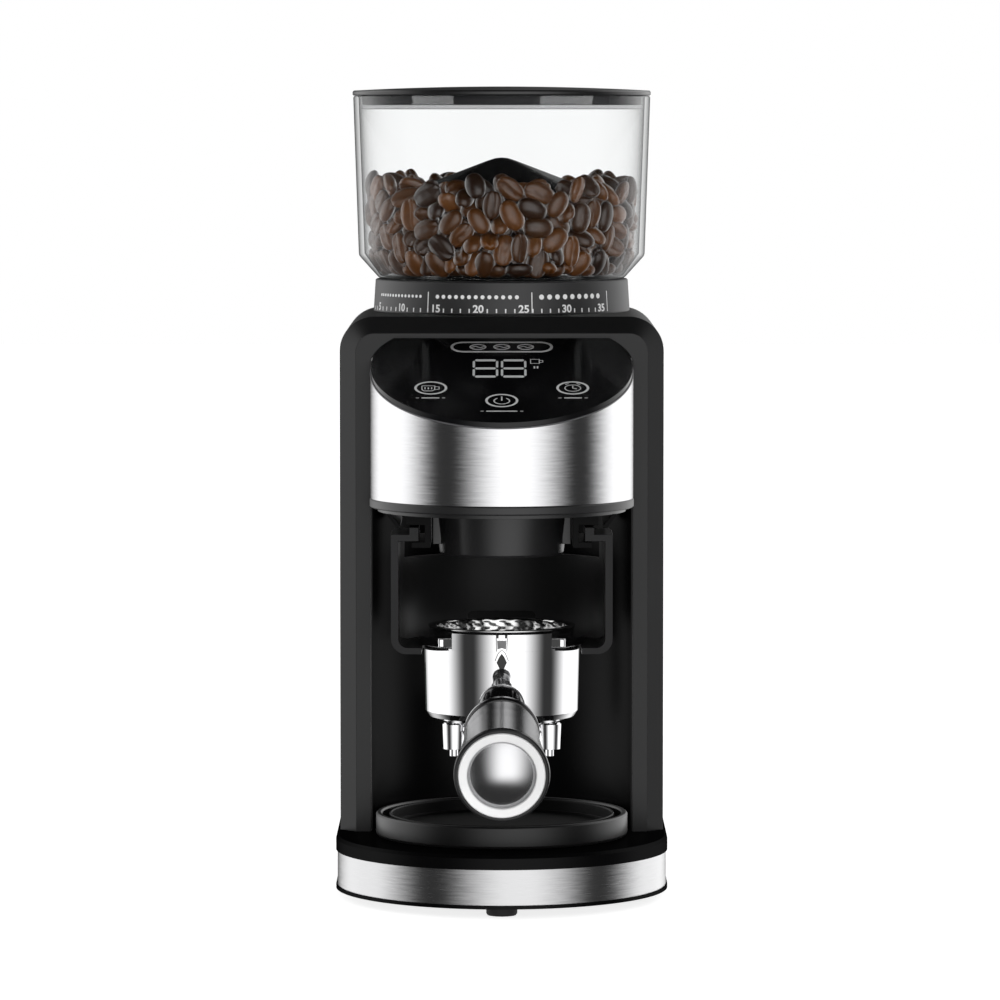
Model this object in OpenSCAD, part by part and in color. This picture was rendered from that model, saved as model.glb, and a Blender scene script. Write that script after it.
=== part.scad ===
// Conical burr coffee grinder with a bean hopper, a portafilter cradle and a grounds tray.
// Millimetres. +Z is up, the front faces -Y, and the origin is on the surface that the feet
// stand on, under the axis of the dosing nozzle.

/* [Base] */
// Radius of the round front of the base, which is also half its width
base_r = 76.2; // [75.6:0.2:77]
// Distance from the nozzle axis to the back of the housing
back_y = 146; // [142:1:150]
// Height of the rubber feet under the base
foot_h = 4.3; // [3:0.1:6]
// Height of the deck that the tray stands on
deck_z = 28.5; // [27:0.5:30]

/* [Housing] */
// Half the width of the housing
house_w = 74.6; // [74:0.1:75]
// Height of the flat top of the housing
house_top = 266; // [265.5:0.5:267]
// Radius of the housing's upper corners
house_rc = 16; // [13:1:18]
// Width of the bevel round the front of the housing
bevel = 7.5; // [6:0.5:8]
// Wall thickness of the moulded shells
wall = 2.5; // [2:0.1:3]

/* [Head] */
// Outer radius of the round head that carries the control panel
head_r = 60.2; // [60:0.1:60.4]
// Height of the underside of the head
head_z = 179.8; // [179.8:0.1:180]
// Rise of the control panel per millimetre towards the back
panel_slope = 0.372; // [0.34:0.002:0.38]

/* [Hopper] */
// Distance from the nozzle axis back to the burr and hopper axis
burr_y = 80; // [80:0.5:80.5]
// Radius of the hopper at its rim
hopper_r = 69.8; // [69:0.1:70.5]
// Height of the hopper's rim
hopper_top = 367.4; // [360:0.2:372]

/* [Grinding] */
// Number of grind settings on the scale ring
settings = 35; // [20:1:40]
// Module of the gears
gear_m = 0.8; // [0.8:0.01:0.8]
// Teeth of each pinion
pinion_teeth = 12; // [12:1:12]
// Teeth of each large gear
wheel_teeth = 60; // [60:1:60]

/* [Portafilter] */
// Outer radius of the portafilter's body
porta_r = 35.6; // [35:0.1:36]
// Height of the portafilter's rim
porta_rim_z = 124.4; // [123:0.1:125]
// Distance from the nozzle axis forward to the end of the handle
handle_reach = 150.1; // [140:0.1:152]

/* [Hidden] */
$fn = 96;
eps = 0.01;
fit = 0.04;       // radial clearance of a running fit
gap = 0.3;        // clearance between pieces that move past each other

// Base levels
base_z = foot_h;
trim_z0 = base_z + 1.6;
trim_z1 = deck_z - 6.5;
base_rc = 22;     // radius of the base's rear corners
steel_t = 0.5;    // thickness of the brushed steel trim
lip = 0.7;        // how far the base's two lips stand out past the trim
feet_at = [[0, -62], [-58, 22], [58, 22], [-52, 126], [52, 126]];
base_screws_at = [[-40, -38], [40, -38], [-60, 96], [60, 96]];

// Housing levels
face_y = 8;                    // front face of the housing
bevel_y = face_y + bevel;      // where the bevel reaches the full width
seam_y = 118;                  // seam between the front housing and the rear cover
bay_r = 60.8;                  // radius of the round bay under the head
rear_screws_at = [[-66.5, 46], [66.5, 46], [-66.5, 238], [66.5, 238]];
gland_z = 44;
house_back = back_y - base_r + house_w; // back face of the housing

// Head levels
panel_z = 241.5;               // height of the panel's plane over the nozzle axis
panel_t = 2;
panel_back = 36;               // how far back the panel reaches under the brow
nozzle_bottom = 158;

// Drive train levels
motor_y = burr_y + 20;
motor_r = 21;
motor_z0 = 116;
gearbox_z = 182;
gear1_z = gearbox_z + 5;       // first pair of gears
gear2_z = gearbox_z + 12;      // second pair of gears
gear_w = 5.5;
centre_distance = gear_m * (pinion_teeth + wheel_teeth) / 2;
idler_x = sqrt(pow(centre_distance, 2) - pow((motor_y - burr_y) / 2, 2));
idler_y = (motor_y + burr_y) / 2;
chamber_z = 208;
chamber_r = 43.2;
carrier_r = 42.8;
skirt_r = 40.4;                // inner radius of the scale ring's skirt
plunger_r = 52;                // how far the interlock plunger stands from the burr axis
burr_z = 230;                  // underside of the ring burr

// Hopper levels
ring_z = house_top + 0.5;
ring_top = 281.6;
ring_r = 60.3;
bowl_break_z = 292.2;          // where the hopper's wall turns in
bowl_foot_z = 282;
bowl_t = 2.5;
beans_top = 328;

// Cradle and portafilter levels
flange_z = 114.1;              // underside of the cradle's lower flanges
flange_t = 2.9;
cradle_w = 50.4;
cradle_t = 3.4;
cradle_front = -27;
rail_z = 177.8;
porta_z0 = 86.2;

// ---------- shared shapes ----------

// D-shaped plan of the base: a round front and a straight back with rounded corners.
module plan(r, back, rc) {
    circle(r = r);
    translate([-r, 0]) square([2 * r, back - rc]);
    translate([rc - r, 0]) square([2 * (r - rc), back]);
    for (s = [-1, 1]) translate([s * (r - rc), back - rc]) circle(r = rc);
}

// The base's plan, moved in by inset all round, as a slab.
module plan_slab(inset, z0, z1) {
    translate([0, 0, z0]) linear_extrude(z1 - z0)
        plan(base_r - inset, back_y - inset, base_rc - inset);
}

// Front outline of the housing: straight sides and rounded upper corners.
module arch(inset) {
    w = house_w - inset;
    top = house_top - inset;
    rc = house_rc - inset;
    translate([-w, deck_z]) square([2 * w, top - rc - deck_z]);
    translate([rc - w, deck_z]) square([2 * (w - rc), top - deck_z]);
    for (s = [-1, 1]) translate([s * (w - rc), top - rc]) circle(r = rc);
}

module arch_slab(inset, y0, y1) {
    translate([0, y1, 0]) rotate([90, 0, 0]) linear_extrude(y1 - y0) arch(inset);
}

// The housing as a solid, without its front bevel.
module housing_block(inset, y0, y1) {
    intersection() {
        arch_slab(inset, y0, y1);
        plan_slab(base_r - house_w + inset, deck_z - 1, house_top + 1);
    }
}

module housing_solid() {
    housing_block(0, bevel_y, back_y + 1);
    hull() {
        arch_slab(bevel, face_y, face_y + eps, $fn = 64);
        arch_slab(0, bevel_y - eps, bevel_y, $fn = 64);
    }
}

module housing_cavity() {
    housing_block(wall, bevel_y + 1, back_y);
    arch_slab(bevel + wall, face_y + 4, bevel_y + 2);
    translate([-house_w + bevel + wall, face_y + 4, deck_z - 1])
        cube([2 * (house_w - bevel - wall), bevel, 10]);
    translate([-house_w + wall, bevel_y + 1, deck_z - 1])
        cube([2 * (house_w - wall), seam_y - bevel_y, 10]);
}

// A tube about the vertical axis at (0, y).
module tube(r_out, r_in, z0, z1, y = 0) {
    translate([0, y, z0]) difference() {
        cylinder(r = r_out, h = z1 - z0);
        translate([0, 0, -1]) cylinder(r = r_in, h = z1 - z0 + 2);
    }
}

// Everything from one height above the panel's sloping plane to another.
module panel_slab(from, to) {
    rotate([atan(panel_slope), 0, 0]) translate([-100, -120, from]) cube([200, 240, to - from]);
}

module on_panel() {
    translate([0, 0, panel_z]) rotate([atan(panel_slope), 0, 0]) children();
}

// Cross-head screw along +Z, with its head below and its shank above z = 0.
module screw(shank_r, shank_l, head_r, head_h) {
    difference() {
        union() {
            cylinder(r = shank_r, h = shank_l);
            translate([0, 0, -head_h]) cylinder(r = head_r, h = head_h);
        }
        for (a = [0, 90]) rotate([0, 0, a])
            translate([-head_r * 0.6, -head_r * 0.14, -head_h - 1])
                cube([head_r * 1.2, head_r * 0.28, 1 + head_h * 0.5]);
    }
}

// Involute gear. A tooth's centre is at angle 0.
function involute(a) = tan(a) * 180 / PI - a;
function half_tooth(r, rp, rb, teeth) =
    90 / teeth * 0.78 + involute(acos(rb / rp)) - involute(acos(min(1, rb / max(r, rb))));
module gear2d(teeth) {
    rp = gear_m * teeth / 2;
    rb = rp * cos(25);
    root = rp - 1.1 * gear_m;
    tip = rp + 0.85 * gear_m;
    start = max(root, rb);
    radii = [root, start, rp, tip];
    polygon([for (i = [0:teeth - 1], side = [-1, 1], k = [0:3])
        let (r = side < 0 ? radii[k] : radii[3 - k],
             a = i * 360 / teeth + side * half_tooth(r, rp, rb, teeth))
        [r * cos(a), r * sin(a)]]);
}

module gear(teeth, bore) {
    linear_extrude(gear_w) difference() {
        gear2d(teeth);
        circle(r = bore);
    }
}

// ---------- base ----------

module base_plate() color("#1c1c1e") difference() {
    plan_slab(3.4, base_z, base_z + 2.4);
    for (p = base_screws_at) translate([p[0], p[1], base_z - 1]) {
        cylinder(r = 1.7, h = 6);
        cylinder(r = 3.6, h = 2.2);
    }
    for (p = feet_at) translate([p[0], p[1], base_z - 1]) cylinder(r = 3, h = 6);
    for (i = [-4:4]) translate([i * 7 - 1.5, 40, base_z - 1]) cube([3, 34, 6]);
}

module base_shell() color("#161618") {
    difference() {
        union() {
            plan_slab(0, base_z, trim_z0);
            plan_slab(lip + steel_t + 0.1, base_z, trim_z1 + 1);
            plan_slab(0, trim_z1, deck_z - 1.4);
            hull() {
                plan_slab(0, deck_z - 1.5, deck_z - 1.4, $fn = 160);
                plan_slab(1.4, deck_z - eps, deck_z, $fn = 160);
            }
        }
        plan_slab(3.2, base_z - 1, deck_z - 3);
        translate([-34, 74, deck_z - 5]) cube([68, 44, 10]);
    }
    for (p = base_screws_at) difference() {
        translate([p[0], p[1], base_z + 2.4]) cylinder(r = 4, h = deck_z - 3 - base_z - 2.3);
        translate([p[0], p[1], base_z]) cylinder(r = 1.5, h = 16);
    }
}

module base_steel_ring() color("#c9cacc") difference() {
    plan_slab(lip, trim_z0 + 0.02, trim_z1 - 0.02);
    plan_slab(lip + steel_t, trim_z0 - 1, trim_z1 + 1);
}

module rubber_feet() color("#0e0e0e") for (p = feet_at) translate([p[0], p[1], 0]) {
    rotate_extrude() polygon([[0, 0], [6.4, 0], [7, 0.8], [7, foot_h - 0.3], [6.5, foot_h],
        [2.9, foot_h], [2.9, foot_h + 3.4], [0, foot_h + 3.4]]);
}

module case_screws() color("#9a9a9c") {
    for (p = base_screws_at) translate([p[0], p[1], base_z + 1.2]) screw(1.45, 13, 3.2, 1.2);
    for (p = rear_screws_at)
        translate([p[0], seam_y + 6, p[1]]) rotate([90, 0, 0]) screw(1.45, 16, 3.2, 2);
}

// ---------- housing ----------

// The opening in the front face: the bay below, and the pocket for the head above it,
// whose upper corners follow the panel's outline.
module face_opening() {
    half = bay_r - 0.55;
    shoulder = [for (y = [face_y:4:panel_back])
        [sqrt(pow(head_r, 2) - pow(y, 2)) + gap, panel_z + panel_slope * y + panel_t]];
    right = concat([[half, deck_z - 1], [half, shoulder[0][1] - 1]], shoulder);
    left = [for (i = [len(right) - 1:-1:0]) [-right[i][0], right[i][1]]];
    translate([0, bevel_y, 0]) rotate([90, 0, 0]) linear_extrude(bevel_y)
        polygon(concat(right, left));
}

module front_housing() color("#1b1b1d") difference() {
    union() {
        difference() {
            housing_solid();
            housing_cavity();
            translate([-100, seam_y, 0]) cube([200, 100, 400]);
            face_opening();
        }
        for (p = rear_screws_at) translate([p[0], seam_y, p[1]]) rotate([90, 0, 0])
            cylinder(r = 6, h = 18);
    }
    for (p = rear_screws_at) translate([p[0], seam_y + 1, p[1]]) rotate([90, 0, 0])
        cylinder(r = 1.5, h = 14);
    translate([0, burr_y, house_top - 5]) cylinder(r = 47, h = 10);
    translate([0, burr_y + plunger_r, house_top - 5]) cylinder(r = 1.9, h = 10);
}

module vents() {
    for (i = [0:9]) translate([-32, back_y - 6, 86 + 8 * i]) cube([64, 10, 3.2]);
}

module rear_cover() color("#1b1b1d") difference() {
    union() {
        difference() {
            housing_block(0, seam_y + 0.1, back_y + 1);
            difference() {
                housing_block(wall, seam_y - 1, back_y);
                translate([-100, back_y - wall, 0]) cube([200, 10, 400]);
            }
            translate([-house_w + wall, seam_y - 1, deck_z - 1])
                cube([2 * (house_w - wall), 6, 12]);
        }
        for (p = rear_screws_at) translate([p[0], seam_y + 0.1, p[1]]) rotate([-90, 0, 0])
            cylinder(r = 6, h = 10);
    }
    for (p = rear_screws_at) translate([p[0], seam_y - 1, p[1]]) rotate([-90, 0, 0]) {
        cylinder(r = 1.7, h = 30);
        translate([0, 0, 5]) cylinder(r = 3.5, h = 30);
    }
    vents();
    translate([0, back_y + 1, gland_z]) rotate([90, 0, 0]) cylinder(r = 6.6, h = 20);
    translate([0, burr_y + plunger_r, house_top - 5]) cylinder(r = 1.9, h = 10);
    translate([0, burr_y, house_top - 5]) cylinder(r = 47, h = 10);
}

// Strain-relief bush for the mains lead, whose bore is empty.
module cord_gland() color("#0f0f10") translate([0, house_back, gland_z]) rotate([90, 0, 0])
    rotate_extrude() polygon([[3.4, -3], [5.6, -3], [8.4, -1.4], [8.4, 0], [6.5, 0],
        [6.5, wall], [8, wall], [8, wall + 3], [3.4, wall + 3]]);

module bay_liner() color("#101012") {
    difference() {
        tube(bay_r + 2, bay_r, deck_z, head_z + 0.6);
        translate([-100, -200 + face_y + 4.1, 0]) cube([200, 200, 400]);
    }
}

// ---------- head ----------

module head_underplate() color("#141416") difference() {
    translate([0, 0, rail_z]) cylinder(r = 56.8, h = 2.6);
    translate([-13, -9, rail_z - 1]) cube([26, 26, 5]);
}

module head_shell() color("#202022") difference() {
    tube(head_r - 0.7, head_r - 3, head_z + 3.9, 280);
    translate([0, 0, panel_z]) panel_slab(-3.4, 200);
    translate([-100, panel_back - 2, 0]) cube([200, 200, 400]);
}

module head_steel_band() color("#cfd0d2") difference() {
    tube(head_r, head_r - 0.6, head_z + 3.9, 280);
    translate([0, 0, panel_z]) panel_slab(-0.7, 200);
    translate([-100, face_y - 0.1, 0]) cube([200, 200, 400]);
}

module head_trim_ring() color("#2a2a2c") difference() {
    rotate_extrude() polygon([[57, head_z - 0.2], [head_r - 0.2, head_z - 0.2],
        [head_r + 0.3, head_z + 0.3], [head_r + 0.3, head_z + 3.2], [head_r - 0.1, head_z + 3.8],
        [57, head_z + 3.8]]);
    translate([-100, face_y - 0.1, 0]) cube([200, 200, 400]);
}

module nozzle() color("#151517") {
    difference() {
        union() {
            rotate_extrude() polygon([[27.2, rail_z - 0.1], [30.4, rail_z - 0.1],
                [28.4, nozzle_bottom + 1], [27.6, nozzle_bottom], [25.2, nozzle_bottom],
                [25.2, nozzle_bottom + 1.5]]);
            for (s = [-1, 1], y = [-9, 6]) translate([s > 0 ? 27.7 : -31.4, y, nozzle_bottom + 5])
                cube([3.7, 2.4, rail_z - nozzle_bottom - 5.1]);
        }
        translate([0, 0, nozzle_bottom - 1]) cylinder(r = 25.2, h = 2);
    }
}

// The two channels that the cradle's hooks slide in.
module cradle_rails() color("#252527") for (s = [0, 1]) mirror([s, 0, 0]) {
    translate([0, 31, 0]) rotate([90, 0, 0]) linear_extrude(56) {
        polygon([[32.4, rail_z - 0.1], [43.8, rail_z - 0.1], [43.8, 172.8], [35, 172.8],
            [35, 165], [41, 165], [41, 162.4], [32.4, 162.4]]);
        polygon([[50.2, rail_z - 0.1], [52.4, rail_z - 0.1], [47.6, 171.4], [46.2, 171.4],
            [46.2, 172.6]]);
    }
}

// Slanting duct from the burr chamber's port down to the nozzle.
module chute_path(grow) {
    hull() {
        translate([-13 - grow, 32, 212.6 - grow]) cube([26 + 2 * grow, 0.1, 13 + 2 * grow]);
        translate([-13 - grow, -9 - grow, 196]) cube([26 + 2 * grow, 26 + 2 * grow, 0.1]);
    }
    translate([-13 - grow, -9 - grow, rail_z + 2.6 - (grow > 0 ? 0 : 1)])
        cube([26 + 2 * grow, 26 + 2 * grow, 15.7]);
    translate([-13 - grow, 32, 212.6 - grow])
        cube([26 + 2 * grow, 6 + (grow > 0 ? 0 : 2), 13 + 2 * grow]);
}

module grounds_chute() color("#333336") difference() {
    chute_path(1.6);
    chute_path(0);
    translate([0, burr_y, 200]) cylinder(r = chamber_r + 2.95, h = 40);
}

module head_disc(r, y_back) {
    intersection() {
        cylinder(r = r, h = 300);
        translate([-100, -100, 0]) cube([200, 100 + y_back, 300]);
    }
}

module panel_bezel() color("#5b5c5f") difference() {
    intersection() {
        head_disc(head_r + 0.1, panel_back - 4);
        translate([0, 0, panel_z]) panel_slab(-0.6, -0.1);
    }
    head_disc(head_r - 4, panel_back - 8);
}

module control_panel() color("#0a0a0b") intersection() {
    head_disc(head_r - 0.3, panel_back - 2.4);
    translate([0, 0, panel_z]) panel_slab(0, panel_t);
}

// Two-digit display block under the panel's window.
module display_module() color("#1d1d20") on_panel() {
    translate([-16, -14, -8]) cube([35, 25, 7.9]);
}

keys_at = [[-32.2, -24], [0, -38.4], [32.2, -24]];
module touch_sensors() color("#b98b4a") on_panel() for (p = keys_at)
    translate([p[0], p[1], -8]) difference() {
        cylinder(r = 5, h = 7.8);
        translate([0, 0, -1]) cylinder(r = 3.8, h = 8);
    }

module control_board() color("#1f5a34") on_panel() difference() {
    translate([-38, -44, -9.8]) cube([76, 66, 1.6]);
    for (x = [-34, 34], y = [-31, 18]) translate([x, y, -11]) cylinder(r = 1.6, h = 4);
}

module power_board() color("#2a5f3a") {
    translate([-70, 84, 64]) cube([1.6, 28, 90]);
    translate([-68.4, 88, 70]) cube([18, 20, 26]);
    translate([-68.4, 90, 104]) cube([10, 16, 18]);
    for (z = [130, 143]) translate([-68.4, 98, z]) rotate([0, 90, 0]) cylinder(r = 5, h = 14);
}

// ---------- drive ----------

module motor_can() color("#8d8f92") translate([0, motor_y, 0]) difference() {
    union() {
        translate([0, 0, motor_z0 + 4]) cylinder(r = motor_r, h = gearbox_z - motor_z0 - 4);
        translate([0, 0, motor_z0]) cylinder(r = 10, h = 5);
    }
    translate([0, 0, motor_z0 + 6]) cylinder(r = motor_r - 1.8, h = gearbox_z - motor_z0 - 9);
    translate([0, 0, motor_z0 - 1]) cylinder(r = 2.5 + fit, h = 100);
    for (a = [45:90:315]) rotate([0, 0, a]) translate([14, 0, gearbox_z - 4])
        cylinder(r = 1.5, h = 5);
    for (a = [0:60:300]) rotate([0, 0, a]) translate([13, 0, motor_z0]) cylinder(r = 2.5, h = 8);
}

module drive_screws() color("#b0b0b2") {
    for (a = [45, 135, 225, 315]) translate([0, motor_y, gearbox_z + 1.5]) rotate([0, 0, a])
        translate([14, 0, 1.5]) rotate([180, 0, 0]) screw(1.45, 6, 2.6, 1.2);
    for (p = gearbox_screws_at) translate([p[0], p[1], gearbox_z + 23.1])
        rotate([180, 0, 0]) screw(1.45, 18, 2.8, 1.8);
}

gearbox_screws_at = [[-31, 58], [-31, 122], [55, 58], [55, 122]];

module gearbox_outline(grow) {
    translate([-34 - grow, 51 - grow]) square([92 + 2 * grow, 74 + 2 * grow]);
}

module gearbox_base() color("#c9b98e") difference() {
    union() {
        translate([0, 0, gearbox_z]) linear_extrude(3) gearbox_outline(0);
        translate([0, 0, gearbox_z]) linear_extrude(20) difference() {
            gearbox_outline(0);
            gearbox_outline(-2.4);
        }
        for (p = gearbox_screws_at) translate([p[0], p[1], gearbox_z])
            cylinder(r = 3, h = 20);
    }
    for (p = gearbox_screws_at) translate([p[0], p[1], gearbox_z + 3]) cylinder(r = 1.5, h = 20);
    translate([0, motor_y, gearbox_z - 1]) {
        cylinder(r = 6.5, h = 6);
        for (a = [45:90:315]) rotate([0, 0, a]) translate([14, 0, 0]) cylinder(r = 1.6, h = 6);
    }
    translate([0, burr_y, gearbox_z - 1]) cylinder(r = 7.5, h = 6);
    translate([idler_x, idler_y, gearbox_z + 1]) cylinder(r = 2.5, h = 6);
}

module gearbox_cover() color("#c9b98e") difference() {
    translate([0, 0, gearbox_z + 20.1]) linear_extrude(3) gearbox_outline(0);
    translate([0, burr_y, gearbox_z + 19]) cylinder(r = 8.6, h = 6);
    translate([idler_x, idler_y, gearbox_z + 19]) cylinder(r = 2.5, h = 3);
    for (p = gearbox_screws_at) translate([p[0], p[1], gearbox_z + 19]) cylinder(r = 1.6, h = 6);
}

module idler_pin() color("#d5d6d8") translate([idler_x, idler_y, gearbox_z + 1])
    cylinder(r = 2.5, h = 21);

module shaft_bearings() color("#c79a4b") {
    tube(7.5, 3.5 + fit, gearbox_z, gearbox_z + 3, burr_y);
    tube(8, 5 + fit, chamber_z - 2, chamber_z + 3, burr_y);
}

module motor_shaft() color("#d5d6d8") translate([0, motor_y, motor_z0 + 0.4])
    cylinder(r = 2.5, h = gear1_z + gear_w - motor_z0 - 0.4);

module motor_armature() color("#a8622c") translate([0, motor_y, motor_z0 + 10]) difference() {
    union() {
        cylinder(r = 16.5, h = 40);
        translate([0, 0, 40]) cylinder(r = 8, h = 8);
    }
    for (a = [0:60:300]) rotate([0, 0, a]) translate([17, 0, -1]) cylinder(r = 3, h = 42);
    translate([0, 0, -1]) cylinder(r = 2.5, h = 60);
}

idler_angle = atan2(idler_y - motor_y, idler_x);
module motor_pinion() color("#d5d6d8") translate([0, motor_y, gear1_z])
    rotate([0, 0, idler_angle]) gear(pinion_teeth, 2.5);

module compound_gear() color("#e6e2d6") translate([idler_x, idler_y, 0]) {
    translate([0, 0, gear1_z]) rotate([0, 0, idler_angle + 180 + 180 / wheel_teeth])
        gear(wheel_teeth, 2.5 + fit);
    tube(6.4, 2.5 + fit, gear1_z + gear_w - eps, gear2_z - 0.5);
    tube(3.9, 2.5 + fit, gear2_z - 0.6, gear2_z + eps);
    translate([0, 0, gear2_z]) rotate([0, 0, 180 - idler_angle])
        gear(pinion_teeth, 2.5 + fit);
}

module output_gear() color("#e6e2d6") translate([0, burr_y, gear2_z])
    rotate([0, 0, -idler_angle + 180 / wheel_teeth]) difference() {
        gear(wheel_teeth, 5);
        for (a = [0:60:300]) rotate([0, 0, a]) translate([14, 0, -1]) cylinder(r = 4.5, h = 10);
    }

module burr_shaft() color("#d5d6d8") translate([0, burr_y, 0]) {
    translate([0, 0, gearbox_z]) cylinder(r = 3.5, h = gear2_z - gearbox_z);
    translate([0, 0, gear2_z - eps]) cylinder(r = 5, h = 250 - gear2_z);
    translate([0, 0, 249]) cylinder(r = 3, h = 8);
}

module inner_burr() color("#7d7f83") translate([0, burr_y, 0]) difference() {
    translate([0, 0, burr_z - 4]) cylinder(r1 = 19, r2 = 9, h = 24);
    translate([0, 0, burr_z - 5]) cylinder(r = 5, h = 30);
    for (a = [0:30:330]) rotate([0, 0, a]) translate([12.5, 0, burr_z - 6])
        rotate([0, -22, 14]) translate([2.2, -0.8, 0]) cube([8, 1.6, 34]);
}

module burr_nut() color("#b9bbbe") translate([0, burr_y, 250]) difference() {
    cylinder(r = 6.5, h = 5, $fn = 6);
    translate([0, 0, -1]) cylinder(r = 3, h = 7);
}

module grounds_sweeper() color("#3a3a3d") translate([0, burr_y, 0]) difference() {
    union() {
        translate([0, 0, chamber_z + 4]) cylinder(r = 40.5, h = 2.5);
        translate([0, 0, chamber_z + 4]) cylinder(r = 9, h = burr_z - 4 - chamber_z - 4);
        for (a = [0:90:270]) rotate([0, 0, a]) translate([8, -1.2, chamber_z + 6])
            cube([31, 2.4, 8]);
    }
    translate([0, 0, chamber_z]) cylinder(r = 5, h = 40);
}

// Grinding chamber with its front port, its neck and the two keys that guide the carrier.
module burr_chamber() color("#4a4b4e") translate([0, burr_y, 0]) {
    difference() {
        rotate_extrude() polygon([[8.04, chamber_z], [chamber_r + 2.8, chamber_z],
            [chamber_r + 2.8, house_top + 3], [chamber_r, house_top + 3], [chamber_r, chamber_z + 3],
            [8.04, chamber_z + 3]]);
        translate([-13, -60, 212.6]) cube([26, 30, 13]);
    }
    tube(10.4, 8.04, chamber_z - 2, chamber_z + eps);
    for (a = [45:90:315]) rotate([0, 0, a]) translate([34, 0, gearbox_z + 23.1])
        cylinder(r = 3, h = chamber_z - gearbox_z - 22.1);
    for (a = [0, 180]) rotate([0, 0, a]) translate([carrier_r - 2, -2, chamber_z + 24])
        cube([chamber_r - carrier_r + 3, 4, 26]);
}

module interlock_switch() color("#2b2b2e") {
    translate([-10, burr_y + plunger_r - 3.6, house_top - 27]) cube([20, 6.2, 10]);
    for (x = [-7, 0, 7]) translate([x - 0.5, burr_y + plunger_r - 2, house_top - 32])
        cube([1, 3, 5.1]);
}

module interlock_plunger() color("#d8d4c8")
    translate([0, burr_y + plunger_r, house_top - 14.5])
        cylinder(r = 1.6, h = bowl_foot_z - gap - house_top + 14.5);

// ---------- grind adjustment ----------

module burr_carrier() color("#55565a") translate([0, burr_y, 0]) difference() {
    rotate_extrude() polygon([[28.3, burr_z], [carrier_r, burr_z], [carrier_r, 263],
        [37.5, 263], [26, 250], [26, burr_z + 17], [28.3, burr_z + 17]]);
    for (a = [0, 180]) rotate([0, 0, a]) translate([carrier_r - 2.4, -2.4, burr_z - 1])
        cube([10, 4.8, 40]);
}

module ring_burr() color("#7d7f83") translate([0, burr_y, 0]) difference() {
    translate([0, 0, burr_z + 0.1]) cylinder(r = 28.26, h = 16.8);
    translate([0, 0, burr_z - 0.1]) cylinder(r1 = 18.8, r2 = 17.2, h = 8);
    translate([0, 0, burr_z + 7]) cylinder(r1 = 17.2, r2 = 24.5, h = 10.1);
    for (a = [0:20:340]) rotate([0, 0, a]) translate([17.4, -0.9, burr_z - 1])
        cube([2.6, 1.8, 19]);
}

module grind_scale_ring() color("#3b3c3f") translate([0, burr_y, 0]) difference() {
    rotate_extrude() polygon([[skirt_r, 266.4], [skirt_r + 2.2, 266.4],
        [skirt_r + 2.2, ring_top - 2.4], [ring_r - 3.4, ring_top - 2.4],
        [ring_r - 2.6, ring_z], [ring_r - 0.4, ring_z], [ring_r, ring_z + 0.4],
        [ring_r - 0.9, ring_top - 0.5], [ring_r - 1.4, ring_top], [skirt_r, ring_top]]);
    translate([0, 0, ring_top - 5]) rotate([0, 0, -1]) rotate_extrude(angle = 144)
        translate([plunger_r - 2.1, 0]) square([4.2, 10]);
    for (i = [0:settings]) rotate([0, 0, 30 + i * 4]) translate([ring_r - 3.2, -0.5, ring_z - 1])
        cube([1.2, 1, 2]);
}

// ---------- hopper ----------

module hopper_bowl() color("#e8eef0", 0.35) translate([0, burr_y, 0]) {
    rotate_extrude() polygon([[hopper_r, hopper_top], [67.2, bowl_break_z],
        [58, bowl_foot_z + 0.2], [55, bowl_foot_z], [38.4, bowl_foot_z], [38.4, 268],
        [36, 268], [36, bowl_foot_z + bowl_t], [55.6, bowl_foot_z + bowl_t],
        [64.6, bowl_break_z + 1.2], [hopper_r - bowl_t, hopper_top]]);
}

// Cone over the hopper's throat, on three legs, that keeps fingers from the burrs.
guard_apex = 338.5;
module finger_guard() color("#1a1a1c") translate([0, burr_y, 0]) {
    rotate_extrude() polygon([[0, guard_apex], [3, guard_apex - 0.3], [7, guard_apex - 1.6],
        [42.4, guard_apex - 15.2], [43, guard_apex - 16.4], [42.4, guard_apex - 17.4],
        [7, guard_apex - 4], [0, guard_apex - 3]]);
    for (a = [90, 210, 330]) rotate([0, 0, a]) translate([39, -3, bowl_foot_z + bowl_t])
        cube([2.4, 6, guard_apex - 16.2 - bowl_foot_z - bowl_t]);
}

module coffee_beans() color("#5a3420") translate([0, burr_y, 0]) difference() {
    rotate_extrude() polygon([[42.2, bowl_foot_z + bowl_t + 0.4], [54.8, bowl_foot_z + bowl_t + 0.4],
        [63.6, bowl_break_z + 1.4], [64.9, beans_top - 1.5], [60, beans_top], [49, beans_top + 0.6],
        [44, beans_top - 2], [44, guard_apex - 19.5], [42.2, guard_apex - 19.5]]);
}

module lid_disc() color("#1a1b1c") translate([0, burr_y, 0]) rotate_extrude()
    polygon(concat([[0, hopper_top + 0.1], [hopper_r - 0.3, hopper_top + 0.1],
        [hopper_r + 0.3, hopper_top + 0.6], [hopper_r + 0.3, hopper_top + 1.8],
        [hopper_r - 0.3, hopper_top + 2.5]],
        [for (r = [60:-10:0]) [r, hopper_top + 2.6 + 1.8 * (1 - pow(r / 68, 2))]]));

module lid_skirt() color("#55585b") translate([0, burr_y, 0]) rotate_extrude()
    polygon([[62.6, hopper_top], [65.8, hopper_top], [65.4, hopper_top - 4.2],
        [64, hopper_top - 4.2], [64, hopper_top - 6.2], [62.6, hopper_top - 6.2]]);

module lid_gasket() color("#8b8e90") translate([0, burr_y, 0]) rotate_extrude()
    polygon([[64.02, hopper_top - 6.3], [66.2, hopper_top - 6], [66.7, hopper_top - 5.2],
        [66.2, hopper_top - 4.3], [64.02, hopper_top - 4.3]]);

// ---------- cradle ----------

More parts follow.
